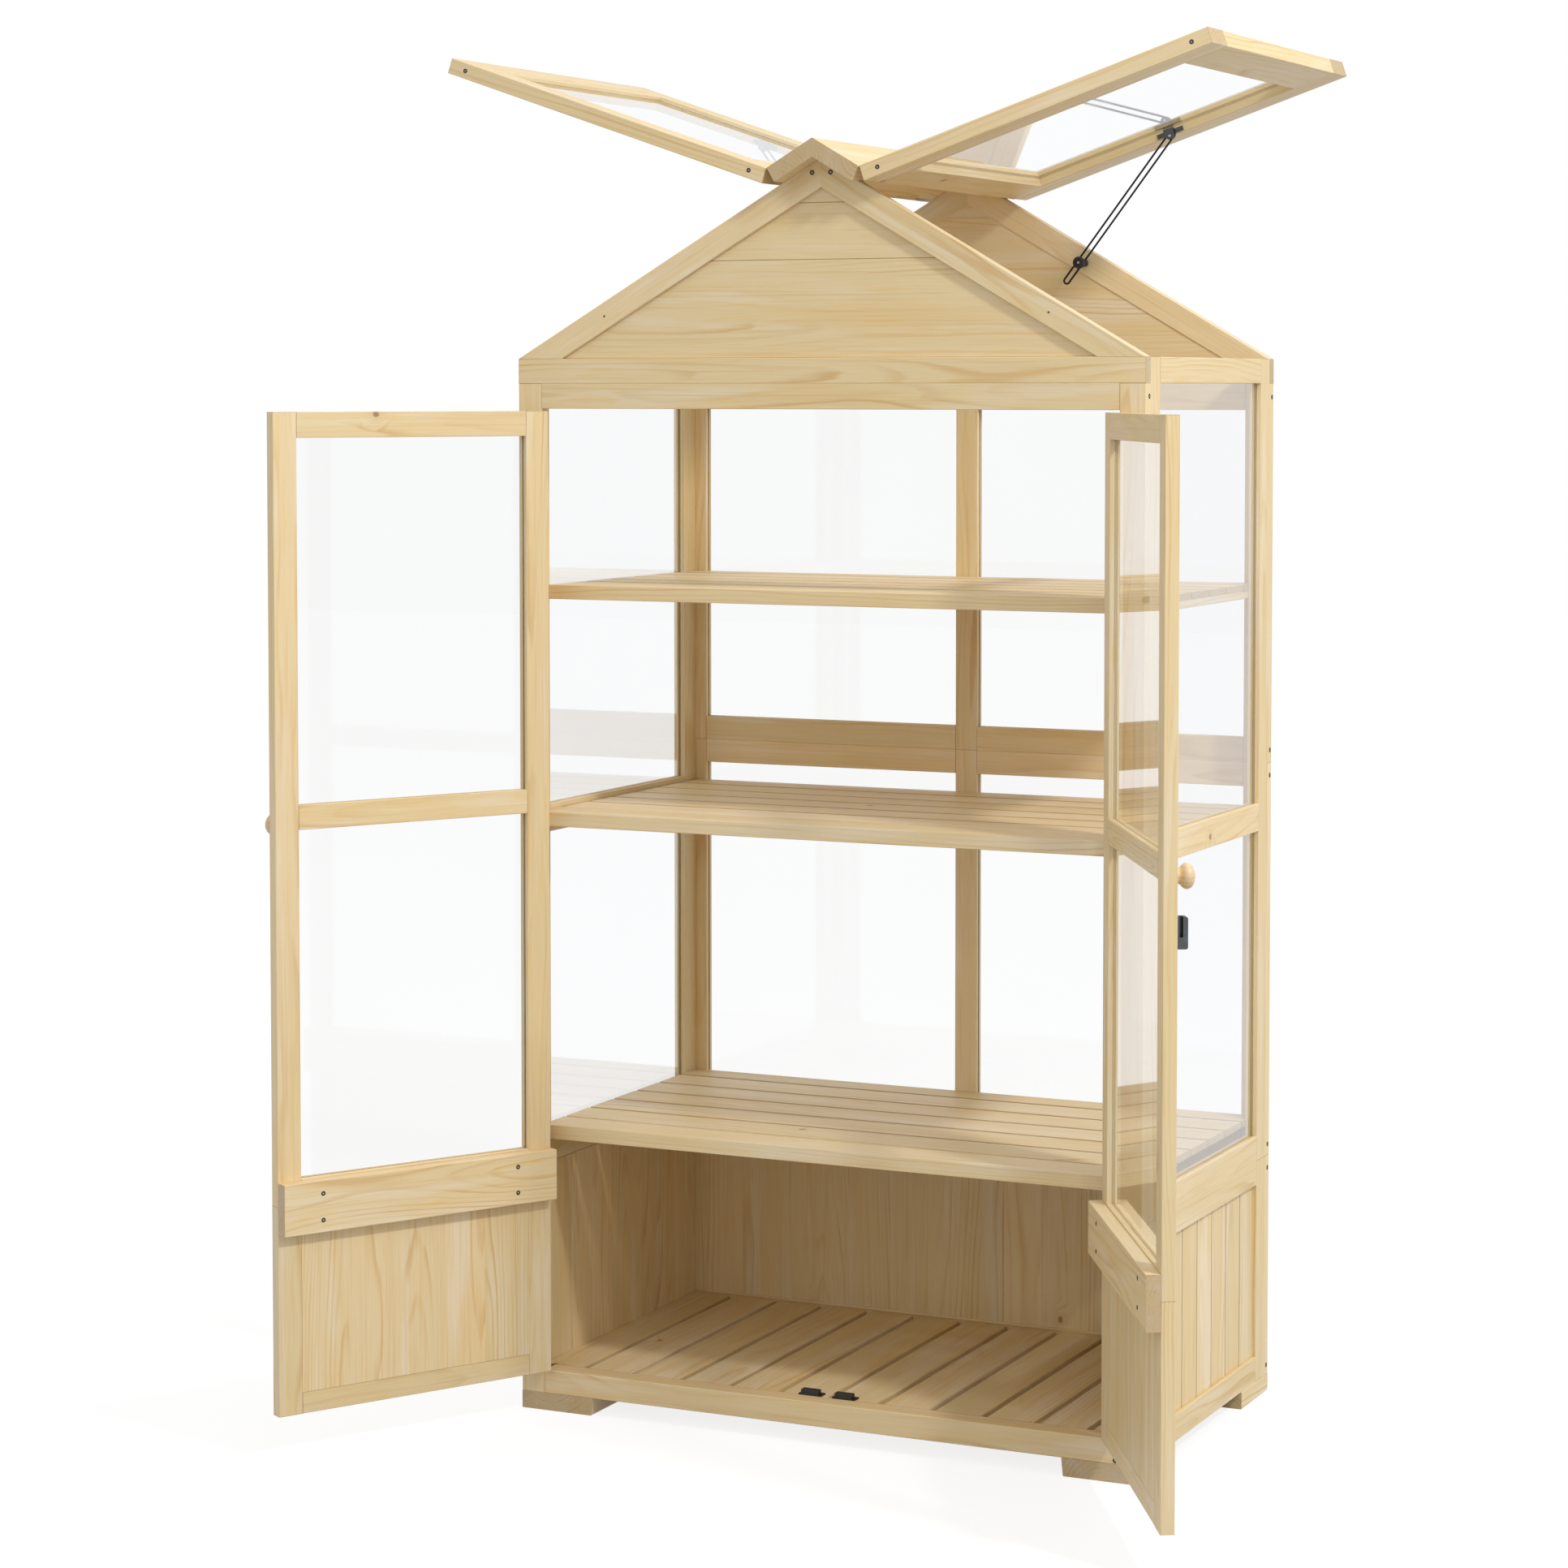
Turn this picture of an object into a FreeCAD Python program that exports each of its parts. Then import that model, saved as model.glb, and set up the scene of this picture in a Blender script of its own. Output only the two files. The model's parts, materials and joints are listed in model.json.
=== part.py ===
import FreeCAD, Part
import math
import os

os.makedirs("parts", exist_ok=True)

# Cabinet
WIDTH = 900.0
DEPTH = 518.0
EAVES = 1438.0
PITCH = 30.0
BOARD = 17.5
EASE = 0.7

# Feet
FOOT_HEIGHT = 24.0
FOOT_WIDTH = 109.0
FOOT_LENGTH = 114.3
FOOT_TAPER = 2.5

# Floor
FLOOR_RISE = 32.0
SILL_DEPTH = 31.0
FLOOR_SLAT_THICK = 17.0
FLOOR_SLAT_WIDTH = 64.7
FLOOR_SLAT_GAP = 9.0
REAR_RAIL_DEPTH = 9.5
BEARER_WIDTH = 42.0

# Base walls
BASE_RISE = 309.0
BASE_BOTTOM_RAIL = 35.0
BASE_TOP_RAIL = 34.0
STILE = 36.0
BACK_STILE = 35.0
MULLION = 33.0
LINING_THICK = 10.0
LINING_RECESS = 6.0
LINING_PITCH = 59.3
LINING_REVEAL = 1.2
TIGHT_EASE = 0.3
LET_IN = 6.0
GROOVE_CLEARANCE = 0.2
TONGUE_LENGTH = 4.0
TONGUE_THICK = 3.2
TONGUE_CLEARANCE = 0.15

# Side walls
SIDE_BOTTOM_RAIL = 34.0
SIDE_MID_RAIL = 38.0
SIDE_MID_RAIL_HEIGHT = 790.0
SIDE_TOP_RAIL = 33.5
PANE_THICK = 4.0

# Back wall
BACK_SPLIT = 881.0
BACK_RAIL = 34.0
BACK_HEAD_RAIL = 36.5

# Front wall and gables
POST_WIDTH = 35.0
GABLE_RAIL = 33.5
DOOR_HEAD = 34.0
RAFTER_WIDTH = 33.0
GABLE_FIRST_BOARD = 128.0
GABLE_BOARD = 74.0

# Ridge boards
RIDGE_WIDTH = 75.0
RIDGE_THICK = 21.5
RIDGE_OVERHANG = 27.0

# Roof windows
WINDOW_LENGTH = 497.0
WINDOW_OVERHANG = 25.0
WINDOW_THICK = 21.0
WINDOW_STILE = 59.0
WINDOW_HINGE_RAIL = 49.5
WINDOW_OUTER_RAIL = 60.0
WINDOW_OPEN_ANGLE = 48.7
WINDOW_HINGE_GAP = 0.5
WINDOW_HINGE_LIFT = 0.5
WINDOW_PANE_DEPTH = 5.5
WINDOW_HINGE_SPACING = 380.0

# Shelves
SHELF_SLAT = 65.0
SHELF_GAP = 6.0
SHELF_SLAT_THICK = 9.0
SHELF_THICK = 19.5
SHELF_BATTEN = 30.0
TOP_SHELF = 1129.5
TOP_SHELF_SETBACK = 51.0
TOP_SHELF_FRONT_BOARD = 32.0
MIDDLE_SHELF = 821.0
MIDDLE_SHELF_SETBACK = 18.0
MIDDLE_SHELF_FRONT_BOARD = 65.0
MIDDLE_SHELF_END_GAP = 3.0
BOTTOM_SHELF = 388.5
BOTTOM_SHELF_SETBACK = 29.0
BOTTOM_SHELF_FRONT_BOARD = 62.0
BOTTOM_BATTEN_INSET = 14.0

# Doors
DOOR_OPEN_ANGLE = 120.0
DOOR_HINGE_GAP = 0.2
DOOR_HINGE_LIFT = 0.5
DOOR_MEETING_GAP = 1.6
DOOR_SILL_GAP = 2.0
DOOR_HEAD_GAP = 3.0
DOOR_HINGE_STILE = 34.8
DOOR_LOCK_STILE = 34.0
DOOR_TOP_RAIL = 33.5
DOOR_MID_RAIL = 32.0
DOOR_MID_RAIL_HEIGHT = 825.0
DOOR_LOW_RAIL = 34.0
DOOR_LOW_RAIL_HEIGHT = 334.0
DOOR_BOTTOM_RAIL = 28.0
DOOR_PANEL_BOARDS = 5
CROSS_BOARD_WIDTH = 68.0
CROSS_BOARD_THICK = 18.0
CROSS_BOARD_DROP = 36.0
CROSS_BOARD_INSET = 1.5
DOOR_HINGE_SPACING = 1070.0

# Butt hinges
HINGE_LENGTH = 42.0
KNUCKLE_RADIUS = 2.0
KNUCKLE_CLEARANCE = 0.3
HINGE_PIN_RADIUS = 1.0
PIN_CLEARANCE = 0.06
HINGE_SIDES = 12
LEAF_THICK = 1.0
LEAF_WIDTH = 14.0
LEAF_CLEARANCE = 0.05

# Door knobs
KNOB_RADIUS = 15.5
KNOB_NECK_RADIUS = 9.0
KNOB_PROJECTION = 23.5
KNOB_HEIGHT = 831.0
KNOB_SIDES = 40

# Door latch
LATCH_HEIGHT = 766.0
LATCH_LENGTH = 38.0
LATCH_EDGE_DISTANCE = 9.0
LATCH_PLATE_WIDTH = 12.0
LATCH_PLATE_THICK = 2.0
LATCH_BAR_WIDTH = 8.0
LATCH_BAR_THICK = 3.0
LATCH_BAR_GAP = 1.0
LATCH_PIN_RADIUS = 2.0
LATCH_HEAD_RADIUS = 4.0
LATCH_HEAD_THICK = 1.6
LATCH_SIDES = 24
KEEPER_WIDTH = 14.0
KEEPER_DEPTH = 12.5
KEEPER_EDGE_DISTANCE = 1.2
KEEPER_WALL = 3.0
KEEPER_ROUND = 2.5
KEEPER_SLOT_CLEARANCE = 0.6
KEEPER_FLOOR_FALL = 3.0

# Magnetic catches
CATCH_LENGTH = 34.0
CATCH_WIDTH = 16.0
CATCH_PLATE = 1.5
CATCH_BODY_LENGTH = 25.0
CATCH_BODY_WIDTH = 10.0
CATCH_BODY_HEIGHT = 8.0
CATCH_SETBACK = 29.0
CATCH_LEFT = -29.0
CATCH_RIGHT = 20.0

# Window stays
STAY_PIVOT_REACH = 252.5
STAY_PLATE_LENGTH = 39.0
STAY_PLATE_HEIGHT = 6.0
STAY_PLATE_DROP = 2.2
STAY_PLATE_THICK = 2.0
STAY_EAR_RADIUS = 7.0
STAY_EAR_THICK = 1.5
STAY_EAR_RISE = 2.4
STAY_HUB_RADIUS = 5.4
STAY_HUB_THICK = 3.8
STAY_HUB_CLEARANCE = 0.4
STAY_RIVET_RADIUS = 2.0
STAY_RIVET_HEAD = 2.8
STAY_RIVET_HEAD_THICK = 1.2
STAY_SIDES = 24
STAY_WIRE_SIDES = 12
STAY_BEND_STEPS = 8
STAY_WIRE_RADIUS = 1.4
STAY_WIRE_SPACING = 8.2
STAY_LOOP_LENGTH = 255.0
STAY_KNOB_ACROSS = 178.8
STAY_KNOB_BELOW_EDGE = 18.4
STAY_KNOB_RADIUS = 8.5
STAY_KNOB_THICK = 5.5
STAY_STUD_CLEARANCE = 0.4
STAY_SLEEVE_RADIUS = 5.0
STAY_FOOT_GAP = 0.3

# Derived planes
HALF_WIDTH = WIDTH / 2
FRONT = -DEPTH / 2
BACK = DEPTH / 2
FRONT_INSIDE = FRONT + BOARD
BACK_INSIDE = BACK - BOARD
SIDE_INSIDE = HALF_WIDTH - BOARD
FLOOR = FOOT_HEIGHT + FLOOR_RISE
BASE_TOP = FOOT_HEIGHT + BASE_RISE
WALL_HEAD = EAVES - GABLE_RAIL
DOORWAY_TOP = WALL_HEAD - DOOR_HEAD
DOORWAY_SIDE = HALF_WIDTH - POST_WIDTH
SLOPE = math.radians(PITCH)
RAFTER_PEAK = EAVES + HALF_WIDTH * math.tan(SLOPE)
RAFTER_DROP = RAFTER_WIDTH / math.cos(SLOPE)
RIDGE_PEAK = RAFTER_PEAK + RIDGE_THICK / math.cos(SLOPE)
RIDGE_LENGTH = DEPTH + 2 * RIDGE_OVERHANG


def vec(x, y, z):
    return FreeCAD.Vector(x, y, z)


def box(x, y, z):
    size = [s[1] - s[0] for s in (x, y, z)]
    return Part.makeBox(size[0], size[1], size[2], vec(x[0], y[0], z[0]))


def prism(points, travel):
    face = Part.Face(Part.makePolygon(points + points[:1]))
    return face.extrude(travel)


def round_bar(radius, start, end):
    travel = end.sub(start)
    return Part.makeCylinder(radius, travel.Length, start, travel)


# Corners of a regular outline round an axis; in a bore the flats keep the radius
def ring(radius, centre, axis, sides, bore=False):
    if bore:
        radius = radius / math.cos(math.pi / sides)
    lead = vec(0, 0, 1) if abs(axis.z) < 0.9 else vec(1, 0, 0)
    first = axis.cross(lead)
    first.normalize()
    second = axis.cross(first)
    points = []
    for i in range(sides):
        turn = 2 * math.pi * i / sides
        points.append(centre + first * (radius * math.cos(turn)) + second * (radius * math.sin(turn)))
    return points


def flat_face(points):
    return Part.Face(Part.makePolygon(points + points[:1]))


def rod(radius, start, end, sides, bore=False):
    travel = end.sub(start)
    axis = vec(*travel)
    axis.normalize()
    return flat_face(ring(radius, start, axis, sides, bore)).extrude(travel)


# Solid with flat sides from ring to ring
def skin(rings):
    faces = [flat_face(rings[0]), flat_face(rings[-1])]
    sides = len(rings[0])
    for low, high in zip(rings, rings[1:]):
        for i in range(sides):
            k = (i + 1) % sides
            faces.append(flat_face([low[i], low[k], high[k], high[i]]))
    shell = Part.makeShell(faces)
    shell.sewShape()
    solid = Part.makeSolid(shell)
    if solid.Volume < 0:
        solid.reverse()
    return solid


# Turned piece: pairs of radius and height along an axis
def lathe(profile, foot, axis, sides):
    return skin([ring(radius, foot + axis * height, axis, sides) for radius, height in profile])


def mirrored(shape):
    return shape.mirror(vec(0, 0, 0), vec(1, 0, 0))


def group(shapes):
    solids = []
    for shape in shapes:
        solids += shape.Solids
    return Part.makeCompound(solids)


nodes = {}


def save(name, shapes):
    nodes[name] = group(shapes)


# Outline with every corner cut back a little
def eased(points, amount):
    result = []
    count = len(points)
    for i, point in enumerate(points):
        for other in (points[i - 1], points[(i + 1) % count]):
            away = other.sub(point)
            away.normalize()
            result.append(point.add(away.multiply(amount)))
    return result


# Sawn board with eased long edges, its grain along the named axis
def board(x, y, z, along):
    spans = (x, y, z)
    run = "xyz".index(along)
    a, b = [i for i in range(3) if i != run]
    corners = []
    for u, v in ((0, 0), (1, 0), (1, 1), (0, 1)):
        point = [0.0, 0.0, 0.0]
        point[run] = spans[run][0]
        point[a] = spans[a][u]
        point[b] = spans[b][v]
        corners.append(vec(*point))
    travel = [0.0, 0.0, 0.0]
    travel[run] = spans[run][1] - spans[run][0]
    return prism(eased(corners, EASE), vec(*travel))


# Board in an upright wall: u runs along the wall, w goes through it
def wall_board(wall, u, z, w, along):
    if wall == "side":
        return board(w, u, z, {"u": "y", "z": "z"}[along])
    return board(u, w, z, {"u": "x", "z": "z"}[along])


def wall_sheet(wall, u, z, w):
    if wall == "side":
        return box(w, u, z)
    return box(u, w, z)


def frame_boards(wall, w, z, stiles, rails):
    boards = [wall_board(wall, stile, z, w, "z") for stile in stiles]
    for first, second in zip(stiles, stiles[1:]):
        bay = (first[1], second[0])
        boards += [wall_board(wall, bay, rail, w, "u") for rail in rails]
    return boards


def grown(limits, amount):
    return (limits[0] - amount, limits[1] + amount)


def cut_all(boards, cutters):
    result = []
    for piece in boards:
        for cutter in cutters:
            if piece.BoundBox.intersect(cutter.BoundBox):
                piece = piece.cut(cutter)
        result.append(piece)
    return result


# Sheet let into grooves all round, with the cutter for those grooves
def let_in_sheet(wall, u, z, w):
    sheet = wall_sheet(wall, grown(u, LET_IN), grown(z, LET_IN), w)
    grooves = LET_IN + GROOVE_CLEARANCE
    cutter = wall_sheet(wall, grown(u, grooves), grown(z, grooves), grown(w, GROOVE_CLEARANCE))
    return sheet, cutter


# Tongue and groove section in (u, w) from one edge to the next, with an open joint of that reveal
def lining_section(u, w, with_groove, with_tongue, ease=(EASE, EASE), reveal=0.0):
    middle = (w[0] + w[1]) / 2
    tongue = TONGUE_THICK / 2
    groove = tongue + TONGUE_CLEARANCE
    low = u[0] + (reveal / 2 if with_groove else 0)
    high = u[1] - (reveal / 2 if with_tongue else 0)
    points = [(low + ease[0], w[0]), (high - ease[0], w[0]), (high, w[0] + ease[0])]
    if with_tongue:
        tip = high + reveal + TONGUE_LENGTH
        points += [(high, middle - tongue), (tip, middle - tongue)]
        points += [(tip, middle + tongue), (high, middle + tongue)]
    points += [(high, w[1] - ease[1]), (high - ease[1], w[1]), (low + ease[1], w[1]), (low, w[1] - ease[1])]
    if with_groove:
        depth = low + TONGUE_LENGTH + TONGUE_CLEARANCE
        points += [(low, middle + groove), (depth, middle + groove)]
        points += [(depth, middle - groove), (low, middle - groove)]
    points.append((low, w[0] + ease[0]))
    return points


# Edges of the lining boards across a bay
def lining_edges(first, last, start, pitch):
    edges = [first]
    edge = start
    while edge < last - pitch / 3:
        edges.append(edge)
        edge += pitch
    edges.append(last)
    return edges


# Upright lining boards in a wall
def upright_lining(wall, z, w, edges, let_in, ease, reveal=0.0):
    tall = grown(z, let_in)
    boards = []
    last = len(edges) - 2
    for i in range(last + 1):
        limits = (edges[i] - (let_in if i == 0 else 0), edges[i + 1] + (let_in if i == last else 0))
        section = lining_section(limits, w, i > 0, i < last, ease, reveal)
        if wall == "side":
            points = [vec(b, a, tall[0]) for a, b in section]
        else:
            points = [vec(a, b, tall[0]) for a, b in section]
        boards.append(prism(points, vec(0, 0, tall[1] - tall[0])))
    return boards


# Feet
foot_x = (HALF_WIDTH - FOOT_WIDTH, HALF_WIDTH)
foot_y = (BACK - FOOT_LENGTH, BACK)
foot_outline = [
    vec(foot_x[0] + FOOT_TAPER, foot_y[0], 0),
    vec(foot_x[1], foot_y[0], 0),
    vec(foot_x[1], foot_y[0], FOOT_HEIGHT),
    vec(foot_x[0], foot_y[0], FOOT_HEIGHT),
]
rear_foot = prism(eased(foot_outline, EASE), vec(0, FOOT_LENGTH, 0))
front_foot = rear_foot.mirror(vec(0, 0, 0), vec(0, 1, 0))
save("feet", [front_foot, mirrored(front_foot), rear_foot, mirrored(rear_foot)])

# Floor with its sill, rear rail, slats and bearers
sill_y = (FRONT, FRONT + SILL_DEPTH)
front_sill = board((-DOORWAY_SIDE, DOORWAY_SIDE), sill_y, (FOOT_HEIGHT, FLOOR), "x")
rear_rail_y = (BACK_INSIDE - REAR_RAIL_DEPTH, BACK_INSIDE)
floor_slat_z = (FLOOR - FLOOR_SLAT_THICK, FLOOR)
bearer_z = (FOOT_HEIGHT, floor_slat_z[0])
floor_y = (sill_y[1], rear_rail_y[0])
floor_pitch = FLOOR_SLAT_WIDTH + FLOOR_SLAT_GAP
half_count = int((SIDE_INSIDE - FLOOR_SLAT_GAP / 2) / floor_pitch)
floor_slats = []
for k in range(half_count + 1):
    inner = k * floor_pitch + FLOOR_SLAT_GAP / 2
    outer = inner + FLOOR_SLAT_WIDTH
    if k == half_count:
        outer = SIDE_INSIDE
    slat = board((inner, outer), floor_y, floor_slat_z, "y")
    floor_slats += [slat, mirrored(slat)]
bearer_x = (-SIDE_INSIDE, SIDE_INSIDE)
front_bearer = board(bearer_x, (sill_y[1], sill_y[1] + BEARER_WIDTH), bearer_z, "x")
rear_bearer = board(bearer_x, (BACK_INSIDE - BEARER_WIDTH, BACK_INSIDE), bearer_z, "x")
rear_rail = board((-SIDE_INSIDE, SIDE_INSIDE), rear_rail_y, (bearer_z[1], FLOOR), "x")
save("front_sill", [front_sill])
save("floor_rear_rail", [rear_rail])
save("floor_slats", floor_slats)
save("floor_bearers", [front_bearer, rear_bearer])

# Base side walls: full stiles, and boards that stand behind the rails
side_w = (SIDE_INSIDE, HALF_WIDTH)
side_y = (FRONT_INSIDE, BACK_INSIDE)
side_stiles = [(side_y[0], side_y[0] + STILE), (side_y[1] - STILE, side_y[1])]
side_bay = (side_stiles[0][1], side_stiles[1][0])
base_z = (FOOT_HEIGHT, BASE_TOP)
base_rails = [(base_z[0], base_z[0] + BASE_BOTTOM_RAIL), (base_z[1] - BASE_TOP_RAIL, base_z[1])]
base_bay_z = (base_rails[0][1], base_rails[1][0])
rail_w = (HALF_WIDTH - LINING_RECESS, HALF_WIDTH)
lining_w = (SIDE_INSIDE, rail_w[0])
side_edges = lining_edges(side_bay[0], side_bay[1], side_bay[0] + LINING_PITCH, LINING_PITCH)
lining = upright_lining("side", base_z, lining_w, side_edges, 0, (TIGHT_EASE, EASE), LINING_REVEAL)
base_frame = frame_boards("side", side_w, base_z, side_stiles, [])
base_frame += [wall_board("side", side_bay, rail, rail_w, "u") for rail in base_rails]
save("right_base_frame", base_frame)
save("left_base_frame", [mirrored(b) for b in base_frame])
save("right_base_boards", lining)
save("left_base_boards", [mirrored(b) for b in lining])

# Base back wall
back_w = (BACK_INSIDE, BACK)
back_stiles = [(-HALF_WIDTH, BACK_STILE - HALF_WIDTH), (HALF_WIDTH - BACK_STILE, HALF_WIDTH)]
back_bay = (back_stiles[0][1], back_stiles[1][0])
back_lining_w = (BACK - LINING_RECESS - LINING_THICK, BACK - LINING_RECESS)
back_edges = lining_edges(back_bay[0], back_bay[1], back_bay[0] + LINING_PITCH, LINING_PITCH)
back_lining = upright_lining("back", base_bay_z, back_lining_w, back_edges, LET_IN, (TIGHT_EASE, EASE))
groove = let_in_sheet("back", back_bay, base_bay_z, back_lining_w)[1]
back_base = cut_all(frame_boards("back", back_w, base_z, back_stiles, base_rails), [groove])
save("back_base_frame", back_base)
save("back_base_boards", back_lining)

# Glazed side walls
side_z = (BASE_TOP, EAVES)
side_rails = [
    (BASE_TOP, BASE_TOP + SIDE_BOTTOM_RAIL),
    (SIDE_MID_RAIL_HEIGHT, SIDE_MID_RAIL_HEIGHT + SIDE_MID_RAIL),
    (EAVES - SIDE_TOP_RAIL, EAVES),
]
pane_w = (HALF_WIDTH - (BOARD + PANE_THICK) / 2, HALF_WIDTH - (BOARD - PANE_THICK) / 2)
side_panes = []
side_grooves = []
for low, high in zip(side_rails, side_rails[1:]):
    pane, groove = let_in_sheet("side", side_bay, (low[1], high[0]), pane_w)
    side_panes.append(pane)
    side_grooves.append(groove)
side_frame = cut_all(frame_boards("side", side_w, side_z, side_stiles, side_rails), side_grooves)
save("right_side_frame", side_frame)
save("left_side_frame", [mirrored(b) for b in side_frame])
save("side_panes", side_panes + [mirrored(b) for b in side_panes])

# Glazed back wall
mullion = (-MULLION / 2, MULLION / 2)
glazed_stiles = [back_stiles[0], mullion, back_stiles[1]]
back_pane_w = (BACK - (BOARD + PANE_THICK) / 2, BACK - (BOARD - PANE_THICK) / 2)
back_panes = []
back_frames = {
    "back_lower_frame": ((BASE_TOP, BACK_SPLIT), BACK_RAIL, BACK_RAIL),
    "back_upper_frame": ((BACK_SPLIT, WALL_HEAD), BACK_RAIL, BACK_HEAD_RAIL),
}
for name, (limits, low_rail, high_rail) in back_frames.items():
    rails = [(limits[0], limits[0] + low_rail), (limits[1] - high_rail, limits[1])]
    grooves = []
    for first, second in zip(glazed_stiles, glazed_stiles[1:]):
        bay = (first[1], second[0])
        pane, groove = let_in_sheet("back", bay, (rails[0][1], rails[1][0]), back_pane_w)
        back_panes.append(pane)
        grooves.append(groove)
    save(name, cut_all(frame_boards("back", back_w, limits, glazed_stiles, rails), grooves))
save("back_panes", back_panes)

# Gables
full_width = (-HALF_WIDTH, HALF_WIDTH)
front_w = (FRONT, FRONT_INSIDE)
gable_lining_w = (FRONT + LINING_RECESS, FRONT + LINING_RECESS + LINING_THICK)
rafter_inner_peak = RAFTER_PEAK - RAFTER_DROP


# Triangle under the rafters, widened by an amount square to them
def gable_triangle(amount, y):
    peak = rafter_inner_peak + amount / math.cos(SLOPE)
    half = (peak - EAVES) / math.tan(SLOPE)
    points = [vec(-half, y[0], EAVES), vec(half, y[0], EAVES), vec(0, y[0], peak)]
    return prism(points, vec(0, y[1] - y[0], 0))


inner_foot = (rafter_inner_peak - EAVES) / math.tan(SLOPE)
rafter_outline = [
    vec(0, FRONT, rafter_inner_peak),
    vec(inner_foot, FRONT, EAVES),
    vec(HALF_WIDTH, FRONT, EAVES),
    vec(0, FRONT, RAFTER_PEAK),
]
gable_groove = gable_triangle(LET_IN + GROOVE_CLEARANCE, grown(gable_lining_w, GROOVE_CLEARANCE))
rafter = prism(rafter_outline, vec(0, BOARD, 0))
long_edges = [e for e in rafter.Edges if e.Length > HALF_WIDTH * 0.6 and abs(e.BoundBox.ZLength) > BOARD]
rafter = rafter.makeChamfer(EASE, long_edges)
rafter = rafter.cut(gable_groove)
front_rafters = [rafter, mirrored(rafter)]

gable_outline = gable_triangle(LET_IN, gable_lining_w)
gable_top = rafter_inner_peak + LET_IN / math.cos(SLOPE)
gable_edges = lining_edges(EAVES, gable_top, EAVES + GABLE_FIRST_BOARD, GABLE_BOARD)
if gable_edges[-1] - gable_edges[-2] > GABLE_BOARD:
    gable_edges.insert(-1, gable_edges[-2] + GABLE_BOARD)
front_lining = []
for i, (low, high) in enumerate(zip(gable_edges, gable_edges[1:])):
    last = i == len(gable_edges) - 2
    section = lining_section((low, high), gable_lining_w, i > 0, not last)
    points = [vec(-HALF_WIDTH, b, a) for a, b in section]
    front_lining.append(prism(points, vec(WIDTH, 0, 0)).common(gable_outline))
front_rail = board(full_width, front_w, (WALL_HEAD, EAVES), "x")


def to_back(shape):
    return shape.mirror(vec(0, 0, 0), vec(0, 1, 0))


save("front_rafters", front_rafters)
save("front_gable_boards", front_lining)
save("front_gable_rail", [front_rail])
save("rear_rafters", [to_back(b) for b in front_rafters])
save("rear_gable_boards", [to_back(b) for b in front_lining])
save("rear_gable_rail", [to_back(front_rail)])
save("door_head_rail", [board((-DOORWAY_SIDE, DOORWAY_SIDE), front_w, (DOORWAY_TOP, WALL_HEAD), "x")])

# Butt hinge, closed, its axis along local z: the fixed leaf lies at negative x
# and the moving leaf at positive x, both with their faces towards positive y
def butt_hinge(gap):
    third = HINGE_LENGTH / 3
    start = -HINGE_LENGTH / 2
    leaf_y = (0, LEAF_WIDTH)
    leaf_z = (start, -start)
    fixed = box((-gap - LEAF_THICK, -gap), leaf_y, leaf_z)
    moving = box((gap, gap + LEAF_THICK), leaf_y, leaf_z)
    room = KNUCKLE_RADIUS + KNUCKLE_CLEARANCE
    for low in (start, start + 2 * third):
        knuckle = (vec(0, 0, low), vec(0, 0, low + third))
        fixed = fixed.fuse(rod(KNUCKLE_RADIUS, knuckle[0], knuckle[1], HINGE_SIDES))
        wide = (vec(0, 0, low - KNUCKLE_CLEARANCE), vec(0, 0, low + third + KNUCKLE_CLEARANCE))
        moving = moving.cut(rod(room, wide[0], wide[1], HINGE_SIDES, True))
    low = start + third + KNUCKLE_CLEARANCE
    high = start + 2 * third - KNUCKLE_CLEARANCE
    gap_bar = rod(room, vec(0, 0, start + third), vec(0, 0, start + 2 * third), HINGE_SIDES, True)
    fixed = fixed.cut(gap_bar)
    fixed = fixed.fuse(rod(HINGE_PIN_RADIUS, vec(0, 0, start), vec(0, 0, -start), HINGE_SIDES))
    moving = moving.fuse(rod(KNUCKLE_RADIUS, vec(0, 0, low), vec(0, 0, high), HINGE_SIDES))
    bore = HINGE_PIN_RADIUS + PIN_CLEARANCE
    moving = moving.cut(rod(bore, vec(0, 0, start), vec(0, 0, -start), HINGE_SIDES, True))
    return fixed.removeSplitter(), moving.removeSplitter()


# Room for a closed butt hinge in the two boards that it joins
def hinge_room(gap):
    half = HINGE_LENGTH / 2 + LEAF_CLEARANCE
    wide = gap + LEAF_THICK + LEAF_CLEARANCE
    pocket = box((-wide, wide), (0, LEAF_WIDTH + LEAF_CLEARANCE), (-half, half))
    barrel = rod(KNUCKLE_RADIUS + KNUCKLE_CLEARANCE, vec(0, 0, -half), vec(0, 0, half), HINGE_SIDES, True)
    return pocket.fuse(barrel)


def moved(shape, placement):
    copy = shape.copy()
    copy.Placement = placement.multiply(copy.Placement)
    return copy


# Right door, closed; the hinge axis stands at the outer corner of its stile
door_axis_x = DOORWAY_SIDE - DOOR_HINGE_GAP
door_axis_y = FRONT - DOOR_HINGE_LIFT
door_x = (DOOR_MEETING_GAP / 2, door_axis_x - DOOR_HINGE_GAP)
door_z = (FLOOR + DOOR_SILL_GAP, DOORWAY_TOP - DOOR_HEAD_GAP)
door_stiles = [(door_x[0], door_x[0] + DOOR_LOCK_STILE), (door_x[1] - DOOR_HINGE_STILE, door_x[1])]
door_bay = (door_stiles[0][1], door_stiles[1][0])
door_rails = [
    (door_z[0], door_z[0] + DOOR_BOTTOM_RAIL),
    (DOOR_LOW_RAIL_HEIGHT, DOOR_LOW_RAIL_HEIGHT + DOOR_LOW_RAIL),
    (DOOR_MID_RAIL_HEIGHT, DOOR_MID_RAIL_HEIGHT + DOOR_MID_RAIL),
    (door_z[1] - DOOR_TOP_RAIL, door_z[1]),
]
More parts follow.
